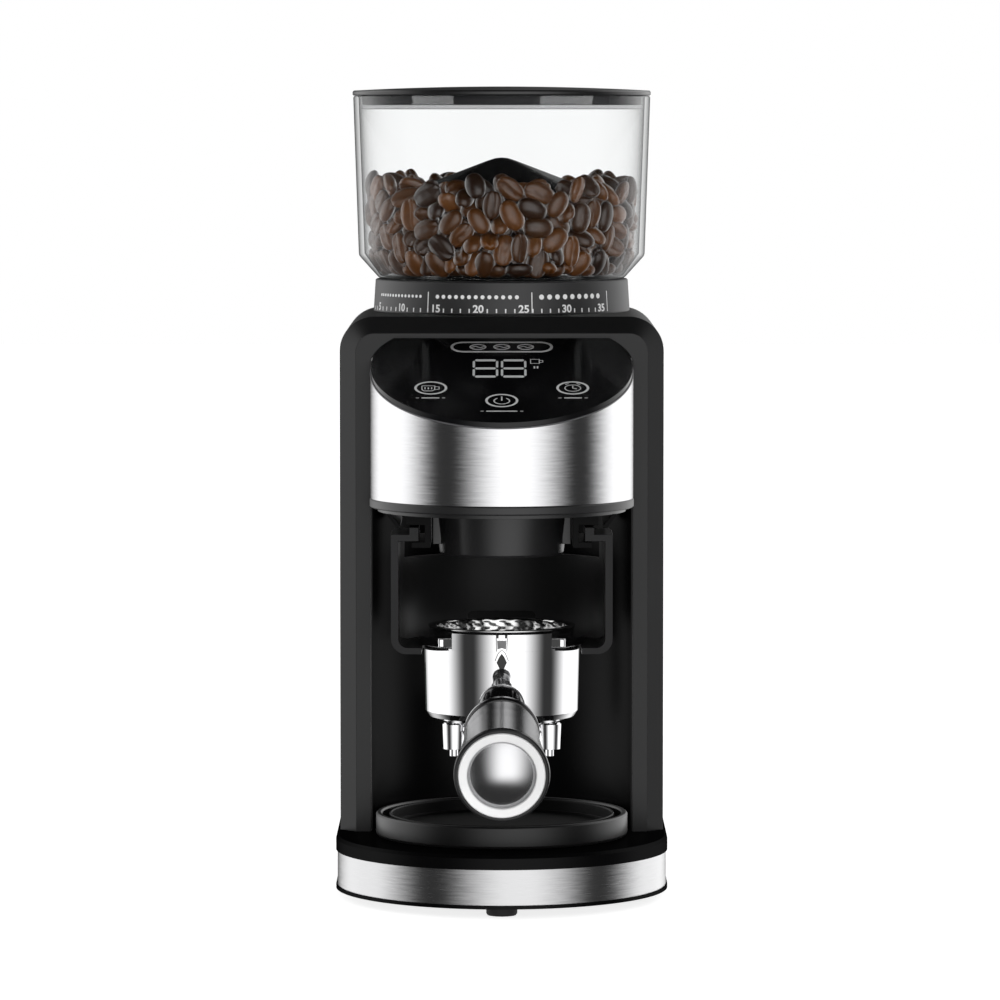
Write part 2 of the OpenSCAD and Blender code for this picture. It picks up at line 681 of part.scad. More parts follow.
// Plan of the cradle: straight sides from the front at y = front, and a round back.
module cradle_plan(r, front) {
    intersection() {
        circle(r = r);
        translate([-r, 0]) square([2 * r, r]);
    }
    translate([-r, front]) square([2 * r, -front]);
}

// Front outline of the cradle: upright sides and rounded lower corners.
module cradle_front_outline(w, z0, rc, z1) {
    translate([-w, z0 + rc]) square([2 * w, z1 - z0 - rc]);
    translate([rc - w, z0]) square([2 * (w - rc), rc + 1]);
    for (s = [-1, 1]) translate([s * (w - rc), z0 + rc]) circle(r = rc);
}

module cradle_block(r, front, z0, rc, z1) {
    intersection() {
        translate([0, 0, z0]) linear_extrude(z1 - z0) cradle_plan(r, front);
        translate([0, 100, 0]) rotate([90, 0, 0]) linear_extrude(200)
            cradle_front_outline(r, z0, rc, z1);
    }
}

// Slides on the rails by its hooks and carries the portafilter on its lower flanges.
module portafilter_cradle() color("#38383b") {
    difference() {
        cradle_block(cradle_w, cradle_front, flange_z, 7, 168.6);
        cradle_block(cradle_w - cradle_t, cradle_front - 1, flange_z + flange_t, 4.2, 300);
        translate([0, 0, flange_z - 1]) linear_extrude(20) {
            circle(r = porta_r + 0.8);
            translate([-porta_r - 0.8, cradle_front - 1]) square([2 * porta_r + 1.6, 28]);
        }
        translate([-100, 14, 154.5]) cube([200, 100, 50]);
        translate([0, 60, 127.4]) rotate([90, 0, 0]) linear_extrude(60) {
            translate([-16, -30]) square([32, 27.5]);
            translate([-13.5, -30]) square([27, 30]);
            for (s = [-1, 1]) translate([s * 13.5, -2.5]) circle(r = 2.5);
        }
    }
    for (s = [0, 1]) mirror([s, 0, 0]) translate([0, 14, 0]) rotate([90, 0, 0])
        linear_extrude(14 - cradle_front) polygon([[37.8, 165.6], [cradle_w - 1, 165.6],
            [cradle_w - 1, 168.6], [41.9, 168.6], [41.9, 171.8], [37.8, 171.8]]);
}

// ---------- portafilter ----------

module portafilter_body() color("#d9dadc") difference() {
    union() {
        rotate_extrude() polygon([[9, 81.6], [27, 81.6], [33.2, 83.6], [porta_r - 0.7, porta_z0],
            [porta_r, 116.6], [33.2, 116.6], [33.2, porta_rim_z - 0.2], [31.4, porta_rim_z - 0.2],
            [31.4, 90], [28, 86], [9, 85]]);
        intersection() {
            rotate_extrude() polygon([[33, 116], [porta_r, 116], [porta_r, porta_rim_z - 0.8],
                [porta_r - 0.6, porta_rim_z - 0.2], [33, porta_rim_z - 0.2]]);
            translate([-22.7, -50, 100]) cube([45.4, 100, 50]);
        }
        intersection() {
            tube(porta_r + 2.6, 33, 117.1, 121);
            translate([-60, -25, 110]) cube([120, 37, 20]);
        }
    }
    translate([0, 0, 70]) cylinder(r = 9, h = 30);
}

module filter_basket() color("#c3c4c6") rotate_extrude()
    polygon([[0, 97.2], [25.5, 97.2], [28.6, 99.4], [30.6, porta_rim_z], [33.4, porta_rim_z],
        [33.8, porta_rim_z + 0.3], [33.8, porta_rim_z + 0.7], [33.4, porta_rim_z + 1],
        [30, porta_rim_z + 1], [29.4, porta_rim_z + 0.4], [27.8, 99.8], [25.2, 98], [0, 98]]);

// Twin spout under the body.
spout_x = 22;
module portafilter_spout() color("#d0d1d3") difference() {
    union() {
        translate([0, 0, 74]) cylinder(r = 8.9, h = 9);
        for (s = [-1, 1]) hull() {
            translate([0, 0, 77.4]) sphere(r = 3.4, $fn = 24);
            translate([s * (spout_x - 0.6), 0, 77]) sphere(r = 3.2, $fn = 24);
        }
        for (s = [-1, 1]) translate([s * spout_x, 0, 0]) rotate_extrude() polygon([[0, 67.9],
            [1.9, 67.9], [4.8, 67.9], [5.3, 79.4], [4.5, 80.2], [0, 80.2]]);
        for (s = [-1, 1]) translate([s * spout_x, 0, 64.6]) cylinder(r = 1.9, h = 4);
    }
    for (s = [-1, 1]) translate([s * spout_x, 0, 64]) {
        cylinder(r = 1.2, h = 10);
        translate([0, 0, 9]) cylinder(r = 3, h = 10);
    }
    translate([0, 0, 80]) cylinder(r = 5, h = 10);
}

// The neck falls away from the body, and the handle carries on at a gentler slope.
neck_slope = 27;
neck_y = -34;
neck_z = 104.6;
grip_y = -76;
grip_z = 83.4;
grip_slope = 8.4;
grip_l = (handle_reach + grip_y - 20 * sin(grip_slope)) / cos(grip_slope) - 0.6;

module along_neck() {
    translate([0, neck_y, neck_z]) rotate([90 + neck_slope, 0, 0]) children();
}

module along_grip() {
    translate([0, grip_y, grip_z]) rotate([90 + grip_slope, 0, 0]) children();
}

module portafilter_neck() color("#cfd0d2") difference() {
    along_neck() {
        difference() {
            rotate_extrude() polygon([[0, 0], [4.3, 0], [4, 3], [4, 8], [4.7, 8.6],
                [4.7, 12.6], [4.2, 13.4], [5, 18], [7.2, 26], [9.2, 36], [9.8, 48], [0, 48]]);
            for (a = [0:30:330]) rotate([0, 0, a]) translate([4.8, 0, 8])
                cylinder(r = 0.6, h = 5.4);
        }
    }
    translate([0, 0, porta_z0]) cylinder(r1 = porta_r - 0.7, r2 = porta_r, h = 116.6 - porta_z0);
    along_grip() translate([0, 0, -3.6]) cylinder(r = 40, h = 100);
}

module handle_ferrule() color("#b9babd") along_grip() rotate_extrude()
    polygon([[0, -3.6], [12, -3.6], [15.4, -2.4], [17, -0.8], [17, 1.4], [16.2, 2.6], [15, 3],
        [0, 3]]);

module handle_grip() color("#1a1a1c") along_grip() difference() {
    rotate_extrude() polygon([[0, 3], [14.6, 3], [16, 4.6], [16.6, 7], [17.1, 22], [18.1, 38],
        [19.4, 54], [20.6, grip_l - 4], [21, grip_l - 1.6], [20.8, grip_l], [20, grip_l + 0.6],
        [0, grip_l + 0.6]]);
    translate([0, 0, grip_l - 2.4]) cylinder(r = 19.15, h = 10);
}

module handle_end_ring() color("#e4e5e7") along_grip() translate([0, 0, grip_l - 2.4])
    rotate_extrude() polygon([[15, 0], [19.1, 0], [19.1, 2.6], [18.6, 3.1], [15.4, 2.7],
        [15, 2.3]]);

module handle_end_cap() color("#b4b5b8") along_grip() translate([0, 0, grip_l - 2.4])
    rotate_extrude() polygon(concat([[0, 0], [14.95, 0]],
        [for (r = [14.9:-1.49:-0.01]) [max(r, 0), 1.6 + 1.9 * (1 - pow(r / 14.9, 2))]]));

// ---------- tray ----------

tray_r = 57.8;
tray_top = deck_z + 10.5;
module tray_dish() color("#2a2a2c") rotate_extrude() polygon([[0, deck_z], [tray_r - 1.5, deck_z],
    [tray_r - 0.4, deck_z + 0.4], [tray_r, deck_z + 1.5], [tray_r, tray_top - 0.8],
    [tray_r - 0.7, tray_top], [tray_r - 2.2, tray_top], [tray_r - 2.9, tray_top - 0.7],
    [tray_r - 2.9, deck_z + 2.5], [0, deck_z + 2.5]]);

module tray_mat() color("#161617") rotate_extrude() polygon([[0, deck_z + 2.5],
    [tray_r - 6.2, deck_z + 2.5], [tray_r - 6.2, tray_top - 0.7], [tray_r - 6.5, tray_top - 0.3],
    [tray_r - 7, tray_top - 0.3], [tray_r - 7.3, tray_top - 0.7], [tray_r - 7.6, deck_z + 5.2],
    [tray_r - 9, deck_z + 4.6], [0, deck_z + 4.6]]);

base_plate();
base_shell();
base_steel_ring();
rubber_feet();
case_screws();
front_housing();
rear_cover();
cord_gland();
bay_liner();
head_underplate();
head_shell();
head_steel_band();
head_trim_ring();
nozzle();
cradle_rails();
grounds_chute();
panel_bezel();
control_panel();
display_module();
touch_sensors();
control_board();
power_board();
motor_can();
drive_screws();
gearbox_base();
gearbox_cover();
idler_pin();
shaft_bearings();
burr_chamber();
interlock_switch();
interlock_plunger();
motor_shaft();
motor_armature();
motor_pinion();
compound_gear();
output_gear();
burr_shaft();
inner_burr();
burr_nut();
grounds_sweeper();
burr_carrier();
ring_burr();
grind_scale_ring();
hopper_bowl();
finger_guard();
coffee_beans();
lid_disc();
lid_skirt();
lid_gasket();
portafilter_cradle();
portafilter_body();
filter_basket();
portafilter_spout();
portafilter_neck();
handle_ferrule();
handle_grip();
handle_end_ring();
handle_end_cap();
tray_dish();
tray_mat();
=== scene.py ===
"""Looks of the burr coffee grinder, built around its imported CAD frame.

Metres, +Z up, the front faces -Y. Places come from the frame. Details that only show in the
render are drawn here in mm.
"""

import math

import bmesh
import bpy
import numpy as np
from mathutils import Matrix, Vector


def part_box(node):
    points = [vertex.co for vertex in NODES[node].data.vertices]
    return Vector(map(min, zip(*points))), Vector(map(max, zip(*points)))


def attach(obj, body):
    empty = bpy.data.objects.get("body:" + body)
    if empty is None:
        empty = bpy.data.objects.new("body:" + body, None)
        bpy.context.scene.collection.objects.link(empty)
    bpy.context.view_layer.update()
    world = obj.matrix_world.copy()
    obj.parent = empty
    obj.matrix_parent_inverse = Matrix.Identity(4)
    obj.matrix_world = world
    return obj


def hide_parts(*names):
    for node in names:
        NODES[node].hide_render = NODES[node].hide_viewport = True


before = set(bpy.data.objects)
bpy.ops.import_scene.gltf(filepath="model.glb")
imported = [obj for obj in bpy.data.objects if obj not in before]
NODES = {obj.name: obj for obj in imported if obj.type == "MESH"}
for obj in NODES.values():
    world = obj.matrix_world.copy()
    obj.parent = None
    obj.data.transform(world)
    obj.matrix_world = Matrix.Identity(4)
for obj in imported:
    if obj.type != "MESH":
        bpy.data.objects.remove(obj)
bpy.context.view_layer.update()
MM = 0.001
rng = np.random.default_rng(7)


# ---------- node helpers ----------


class Nodes:
    """An emptied node tree with short ways to add nodes to it."""

    def __init__(self, tree):
        self.tree = tree
        self.tree.nodes.clear()

    def node(self, kind, **settings):
        made = self.tree.nodes.new(kind)
        for key, value in settings.items():
            setattr(made, key, value)
        return made

    def link(self, source, target):
        self.tree.links.new(source, target)

    def math(self, operation, *values):
        """The result of a math node over values, which are numbers or sockets."""
        made = self.node("ShaderNodeMath", operation=operation)
        for socket, value in zip(made.inputs, values):
            if isinstance(value, bpy.types.NodeSocket):
                self.link(value, socket)
            else:
                socket.default_value = value
        return made.outputs[0]

    def mixed(self, share, first, second, surface):
        """Link to surface a mix of two shaders that holds a share of the second."""
        mix = self.node("ShaderNodeMixShader")
        if isinstance(share, bpy.types.NodeSocket):
            self.link(share, mix.inputs["Fac"])
        else:
            mix.inputs["Fac"].default_value = share
        self.link(first.outputs[0], mix.inputs[1])
        self.link(second.outputs[0], mix.inputs[2])
        self.link(mix.outputs[0], surface)


class Shader(Nodes):
    """A material's node tree."""

    def __init__(self, name):
        self.material = bpy.data.materials.new(name)
        self.material.use_nodes = True
        super().__init__(self.material.node_tree)
        self.output = self.node("ShaderNodeOutputMaterial")

    def principled(self, color, roughness, metallic=0.0, **sockets):
        """The main shader, linked to the output. Other sockets are named with underscores."""
        shader = self.node("ShaderNodeBsdfPrincipled")
        shader.inputs["Base Color"].default_value = (*color, 1.0)
        shader.inputs["Roughness"].default_value = roughness
        shader.inputs["Metallic"].default_value = metallic
        for key, value in sockets.items():
            shader.inputs[key.replace("_", " ")].default_value = value
        self.link(shader.outputs[0], self.output.inputs["Surface"])
        return shader

    def position(self, scale=(1.0, 1.0, 1.0)):
        """Object coordinates in metres, stretched by scale."""
        coordinates = self.node("ShaderNodeTexCoord")
        mapping = self.node("ShaderNodeMapping")
        mapping.inputs["Scale"].default_value = scale
        self.link(coordinates.outputs["Object"], mapping.inputs["Vector"])
        return mapping.outputs["Vector"]

    def around(self, centre, radius, scale):
        """Coordinates wrapped round a vertical axis: distance round it as X, height as Z, scaled."""
        coordinates = self.node("ShaderNodeTexCoord")
        shift = self.node("ShaderNodeVectorMath", operation="SUBTRACT")
        self.link(coordinates.outputs["Object"], shift.inputs[0])
        shift.inputs[1].default_value = (centre[0], centre[1], 0)
        split = self.node("ShaderNodeSeparateXYZ")
        self.link(shift.outputs["Vector"], split.inputs[0])
        angle = self.math("ARCTAN2", split.outputs["X"], split.outputs["Y"])
        arc = self.math("MULTIPLY", angle, radius * scale[0])
        height = self.math("MULTIPLY", split.outputs["Z"], scale[1])
        join = self.node("ShaderNodeCombineXYZ")
        self.link(arc, join.inputs["X"])
        self.link(height, join.inputs["Z"])
        return join.outputs["Vector"]

    def noise(self, vector, scale, detail=3.0, roughness=0.55):
        """Noise from 0 to 1, with about scale bumps in a metre."""
        made = self.node("ShaderNodeTexNoise")
        made.inputs["Scale"].default_value = scale
        made.inputs["Detail"].default_value = detail
        made.inputs["Roughness"].default_value = roughness
        self.link(vector, made.inputs["Vector"])
        return made.outputs["Fac"]

    def spread(self, value, low, high):
        """value, which runs from 0 to 1, brought to run from low to high."""
        made = self.node("ShaderNodeMapRange")
        made.inputs["To Min"].default_value = low
        made.inputs["To Max"].default_value = high
        self.link(value, made.inputs["Value"])
        return made.outputs["Result"]

    def tint(self, value, low, high):
        """A colour between low and high, picked by value."""
        made = self.node("ShaderNodeMix", data_type="RGBA")
        made.inputs["A"].default_value = (*low, 1.0)
        made.inputs["B"].default_value = (*high, 1.0)
        self.link(value, made.inputs["Factor"])
        return made.outputs["Result"]

    def bump(self, shader, height, strength, distance, edge=0.0):
        """Relief from height, over edges rounded by edge metres."""
        made = self.node("ShaderNodeBump")
        made.inputs["Strength"].default_value = strength
        made.inputs["Distance"].default_value = distance
        self.link(height, made.inputs["Height"])
        if edge:
            rounded = self.node("ShaderNodeBevel", samples=4)
            rounded.inputs["Radius"].default_value = edge
            self.link(rounded.outputs["Normal"], made.inputs["Normal"])
        self.link(made.outputs["Normal"], shader.inputs["Normal"])
        return made


# ---------- materials ----------


def shade(color, factor):
    """A colour made lighter or darker."""
    return tuple(min(1, c * factor) for c in color)


def moulded(name, color, roughness, grain=2200.0, relief=0.05, edge=0.0004, **sockets):
    """Injection-moulded plastic: fine grain, slightly uneven gloss and shade."""
    s = Shader(name)
    shader = s.principled(color, roughness, **sockets)
    cloud_scale, cloud_swing, fine_swing, grain_depth = 18.0, 0.04, 0.02, 0.00004
    place = s.position()
    cloud = s.noise(place, cloud_scale, 4.0)
    fine = s.noise(place, grain, 2.0)
    lighter = tuple(min(1.0, c * 1.25 + 0.0015) for c in color)
    s.link(s.tint(cloud, shade(color, 0.8), lighter), shader.inputs["Base Color"])
    uneven = s.math("ADD", s.spread(cloud, -cloud_swing, cloud_swing),
                    s.spread(fine, roughness - fine_swing, roughness + fine_swing))
    s.link(uneven, shader.inputs["Roughness"])
    s.bump(shader, fine, relief, grain_depth, edge)
    return s.material


def brushed(name, centre, radius, color=(0.66, 0.66, 0.67), roughness=0.18, waver_size=0.045):
    """Steel brushed round a vertical axis: long fine scratches that run level.

    Broader streaks lean the surface to the side by up to waver_size, so that reflections waver.
    """
    s = Shader(name)
    shader = s.principled(color, roughness, metallic=1.0, Anisotropic=0.6)
    tangent = s.node("ShaderNodeTangent", direction_type="RADIAL", axis="Z")
    s.link(tangent.outputs[0], shader.inputs["Tangent"])
    shader.inputs["Anisotropic Rotation"].default_value = 0.25
    long_scale, short_scale, streak_scale = (30.0, 5200.0), (150.0, 9000.0), (75.0, 1150.0)
    long_lines = s.noise(s.around(centre, radius, long_scale), 1.0, 4.0, 0.7)
    short_lines = s.noise(s.around(centre, radius, short_scale), 1.0, 3.0, 0.6)
    lines = s.math("ADD", s.math("MULTIPLY", long_lines, 0.6), s.math("MULTIPLY", short_lines, 0.4))
    s.link(s.tint(lines, shade(color, 0.8), shade(color, 1.2)), shader.inputs["Base Color"])
    s.link(s.spread(lines, roughness - 0.09, roughness + 0.11), shader.inputs["Roughness"])
    streaks = s.noise(s.around(centre, radius, streak_scale), 1.0, 3.0, 0.65)
    geometry = s.node("ShaderNodeNewGeometry")
    sideways = s.node("ShaderNodeVectorMath", operation="CROSS_PRODUCT")
    sideways.inputs[0].default_value = (0, 0, 1)
    s.link(geometry.outputs["Normal"], sideways.inputs[1])
    waver = s.node("ShaderNodeVectorMath", operation="SCALE")
    s.link(sideways.outputs["Vector"], waver.inputs["Vector"])
    s.link(s.spread(streaks, -waver_size, waver_size), waver.inputs["Scale"])
    leaning = s.node("ShaderNodeVectorMath", operation="ADD")
    s.link(geometry.outputs["Normal"], leaning.inputs[0])
    s.link(waver.outputs["Vector"], leaning.inputs[1])
    straight = s.node("ShaderNodeVectorMath", operation="NORMALIZE")
    s.link(leaning.outputs["Vector"], straight.inputs[0])
    relief = s.bump(shader, lines, 0.18, 0.00003)
    s.link(straight.outputs["Vector"], relief.inputs["Normal"])
    return s.material


def polished(name, color=(0.82, 0.82, 0.83), roughness=0.05, edge=0.0003):
    """Chrome plate: nearly a mirror, with faint smears."""
    s = Shader(name)
    shader = s.principled(color, roughness, metallic=1.0)
    place = s.position()
    smear = s.noise(place, 35.0, 5.0)
    s.link(s.spread(smear, roughness * 0.6, roughness * 1.6), shader.inputs["Roughness"])
    s.link(s.tint(smear, shade(color, 0.96), color), shader.inputs["Base Color"])
    s.bump(shader, s.noise(place, 90.0, 2.0), 0.02, 0.00005, edge)
    return s.material


def turned(name, color, roughness, metallic=1.0):
    """Machined or pressed metal with a fine satin."""
    s = Shader(name)
    shader = s.principled(color, roughness, metallic=metallic)
    place = s.position()
    fine = s.noise(place, 900.0, 3.0)
    s.link(s.spread(fine, roughness - 0.06, roughness + 0.08), shader.inputs["Roughness"])
    s.link(s.tint(s.noise(place, 60.0), shade(color, 0.85), color), shader.inputs["Base Color"])
    s.bump(shader, fine, 0.08, 0.00003, 0.0002)
    return s.material


def gloss_panel(name):
    """The touch panel's face: black behind clear acrylic, with faint dust."""
    s = Shader(name)
    shader = s.principled((0.004, 0.004, 0.0045), 0.1, Specular_IOR_Level=0.3)
    place = s.position()
    s.link(s.spread(s.noise(place, 40.0, 5.0), 0.08, 0.13), shader.inputs["Roughness"])
    s.link(s.tint(s.noise(place, 12.0), (0.003, 0.003, 0.0035), (0.006, 0.006, 0.0065)),
           shader.inputs["Base Color"])
    return s.material


def printed(name, color, glow=0.0):
    """White print, or a lit segment, with slight unevenness. Its glow is light given off: a lamp in a lit
    segment, a painted glow on print.
    """
    s = Shader(name)
    shader = s.principled(color, 0.45)
    speck = s.noise(s.position(), 1500.0, 2.0)
    s.link(s.tint(speck, shade(color, 0.85), color), shader.inputs["Base Color"])
    # On print, which gives off no light of its own, this glow is painted light.
    if glow:
        shader.inputs["Emission Color"].default_value = (*color, 1.0)
        shader.inputs["Emission Strength"].default_value = glow
    return s.material


def even_sheen(name, color, share, roughness):
    """Dark moulding whose sheen, a share of a mirror, is as weak at its edges as at its middle."""
    s = Shader(name)
    cloud = s.noise(s.position(), 14.0, 4.0)
    body = s.node("ShaderNodeBsdfDiffuse")
    s.link(s.tint(cloud, shade(color, 0.8), shade(color, 1.2)), body.inputs["Color"])
    gloss = s.node("ShaderNodeBsdfGlossy")
    s.link(s.spread(cloud, roughness - 0.03, roughness + 0.03), gloss.inputs["Roughness"])
    s.mixed(share, body, gloss, s.output.inputs["Surface"])
    return s.material


def clear_plastic(name):
    """Clear moulded wall: see-through, with a mirror that grows towards its dark edges."""
    s = Shader(name)
    face_tint, edge_tint = (0.985, 0.988, 0.988), (0.03, 0.034, 0.034)
    mirror_power, mirror_share, least_mirror, edge_power = 4.5, 0.55, 0.001, 5.0
    see = s.node("ShaderNodeBsdfTransparent")
    gloss = s.node("ShaderNodeBsdfGlossy")
    gloss.inputs["Roughness"].default_value = 0.02
    gloss.inputs["Color"].default_value = (1, 1, 1, 1)
    layer = s.node("ShaderNodeLayerWeight")
    layer.inputs["Blend"].default_value = 0.5
    edge = s.math("POWER", layer.outputs["Facing"], edge_power)
    short_of_edge = s.math("SUBTRACT", 1.0, edge)
    rising = s.math("MULTIPLY", s.math("POWER", layer.outputs["Facing"], mirror_power), short_of_edge)
    mirror = s.math("ADD", s.math("MULTIPLY", rising, mirror_share), least_mirror)
    s.link(s.tint(edge, face_tint, edge_tint), see.inputs["Color"])
    ripple = s.noise(s.position((1.0, 1.0, 0.3)), 25.0, 2.0)
    relief = s.node("ShaderNodeBump")
    relief.inputs["Strength"].default_value = 0.04
    relief.inputs["Distance"].default_value = 0.0002
    s.link(ripple, relief.inputs["Height"])
    s.link(relief.outputs["Normal"], gloss.inputs["Normal"])
    s.mixed(mirror, see, gloss, s.output.inputs["Surface"])
    return s.material


def roasted(name):
    """Oily roasted bean: each one its own brown, mottled."""
    s = Shader(name)
    shader = s.principled((0.06, 0.025, 0.01), 0.32, Coat_Weight=0.45, Coat_Roughness=0.14,
                          Specular_IOR_Level=0.4)
    darkest, lightest = (0.013, 0.0052, 0.0022), (0.125, 0.046, 0.0095)
    each = s.node("ShaderNodeNewGeometry").outputs["Random Per Island"]
    base = s.tint(each, darkest, lightest)
    mottle = s.noise(s.position(), 420.0, 4.0, 0.6)
    mix = s.node("ShaderNodeMix", data_type="RGBA", blend_type="MULTIPLY")
    mix.inputs["Factor"].default_value = 0.75
    s.link(base, mix.inputs["A"])
    s.link(s.tint(mottle, (0.45, 0.4, 0.36), (1.5, 1.4, 1.3)), mix.inputs["B"])
    s.link(mix.outputs["Result"], shader.inputs["Base Color"])
    s.link(s.spread(mottle, 0.24, 0.42), shader.inputs["Roughness"])
    s.bump(shader, s.noise(s.position(), 1100.0, 3.0), 0.14, 0.0001)
    return s.material


# ---------- dressing the CAD nodes ----------


def dress(material, *nodes):
    """Give every slot of these nodes the material."""
    for name in nodes:
        mesh_object = NODES[name]
        for i in range(max(1, len(mesh_object.material_slots))):
            if i < len(mesh_object.material_slots):
                mesh_object.material_slots[i].link = "OBJECT"
                mesh_object.material_slots[i].material = material
            else:
                mesh_object.data.materials.append(material)


def centre_of(node):
    """The middle of a node's box, in metres."""
    low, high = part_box(node)
    return (low + high) / 2


case = moulded("case_black", (0.006, 0.006, 0.0063), 0.38, Specular_IOR_Level=0.36)
dress(case, "front_housing", "rear_cover")
dress(even_sheen("base_gloss_black", (0.0025, 0.0025, 0.0027), share=0.007, roughness=0.16), "base_shell")
dress(brushed("base_brushed_steel", (0, 0), radius=0.0755, color=(0.52, 0.52, 0.525),
              roughness=0.24, waver_size=0.06), "base_steel_ring")
dress(brushed("head_brushed_steel", (0, 0), radius=0.0602), "head_steel_band")
dress(moulded("foot_rubber", (0.012, 0.012, 0.012), 0.75, 900.0, 0.3), "rubber_feet", "cord_gland")
dress(even_sheen("bay_black", (0.003, 0.003, 0.0032), share=0.013, roughness=0.3), "bay_liner")
dress(moulded("dark_moulding", (0.011, 0.011, 0.0115), 0.3), "nozzle", "head_shell", "head_underplate",
      "grounds_chute", "base_plate", "display_module", "interlock_switch",
      "burr_chamber", "grounds_sweeper", "burr_carrier")
dress(moulded("guard_gloss_black", (0.004, 0.004, 0.0042), 0.2, relief=0.01), "finger_guard")
dress(moulded("cradle_satin", (0.014, 0.014, 0.0145), 0.4, Specular_IOR_Level=0.16),
      "portafilter_cradle")
dress(moulded("trim_grey", (0.009, 0.009, 0.0095), 0.35), "head_trim_ring")
# The rails are black moulding, coloured darker than the other mouldings to stand for the shade they sit
# in: partly their own colour, partly painted shade.
dress(moulded("rail_black_painted_shade", (0.0015, 0.0015, 0.0016), 0.35, Specular_IOR_Level=0.06), "cradle_rails")
dress(moulded("ring_grey_moulding", (0.019, 0.019, 0.0197), 0.45), "grind_scale_ring")
dress(moulded("tray_satin", (0.007, 0.007, 0.0072), 0.33, Specular_IOR_Level=0.4), "tray_dish")
dress(moulded("mat_black", (0.002, 0.002, 0.0021), 0.45, Specular_IOR_Level=0.12), "tray_mat")
dress(gloss_panel("panel_gloss_black"), "control_panel")
dress(moulded("bezel_grey", (0.1, 0.1, 0.105), 0.2), "panel_bezel")
dress(polished("chrome_plate"), "portafilter_body", "portafilter_spout", "portafilter_neck")
dress(moulded("ferrule_black", (0.005, 0.005, 0.0052), 0.1, relief=0.01), "handle_ferrule")
dress(moulded("grip_gloss_black", (0.01, 0.01, 0.0105), 0.2, relief=0.02, Specular_IOR_Level=0.36),
      "handle_grip")
# The end ring's chrome face gets a pure white colour: a painted reflection of the bright front, in place
# of chrome.
dress(turned("end_ring_painted_reflection", (1.0, 1.0, 1.0), 0.5, 0.35), "handle_end_ring")
dress(moulded("lid_black", (0.01, 0.01, 0.0105), 0.25), "lid_disc")
dress(moulded("lid_insert_black", (0.003, 0.003, 0.0032), 0.06, relief=0.005, Specular_IOR_Level=0.06),
      "lid_skirt")
dress(moulded("gasket_grey", (0.3, 0.3, 0.305), 0.5), "lid_gasket")
dress(turned("screw_zinc", (0.5, 0.5, 0.5), 0.35), "case_screws", "drive_screws", "burr_nut")
dress(turned("shaft_steel", (0.6, 0.6, 0.61), 0.25), "idler_pin", "motor_shaft", "motor_pinion",
      "burr_shaft")
# The motor can is dark steel, made darker still so that it shows dark through the vent slots: partly its
# own colour, partly painted shade.
dress(turned("motor_case_dark_painted_shade", (0.05, 0.05, 0.052), 0.5), "motor_can")
dress(turned("burr_hard_steel", (0.38, 0.38, 0.39), 0.32), "inner_burr", "ring_burr")
dress(turned("bronze_bush", (0.45, 0.3, 0.12), 0.4), "shaft_bearings")
dress(turned("spring_brass", (0.6, 0.42, 0.16), 0.3), "touch_sensors")
dress(turned("armature_copper", (0.42, 0.17, 0.07), 0.4), "motor_armature")
dress(moulded("gear_nylon", (0.62, 0.59, 0.5), 0.5), "compound_gear", "output_gear", "gearbox_base",
      "gearbox_cover", "interlock_plunger")
dress(moulded("board_green", (0.012, 0.07, 0.03), 0.35), "control_board", "power_board")


# ---------- geometry helpers ----------


def add_piece(name, verts, faces, material, body, smooth=True):
    """A mesh piece in metres that rides with a body."""
    mesh = bpy.data.meshes.new(name)
    mesh.from_pydata([tuple(v) for v in verts], [], [tuple(f) for f in faces])
    mesh.materials.append(material)
    mesh.validate()
    if smooth:
        mesh.polygons.foreach_set("use_smooth", [True] * len(mesh.polygons))
    piece = bpy.data.objects.new(name, mesh)
    bpy.context.scene.collection.objects.link(piece)
    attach(piece, body)
    return piece


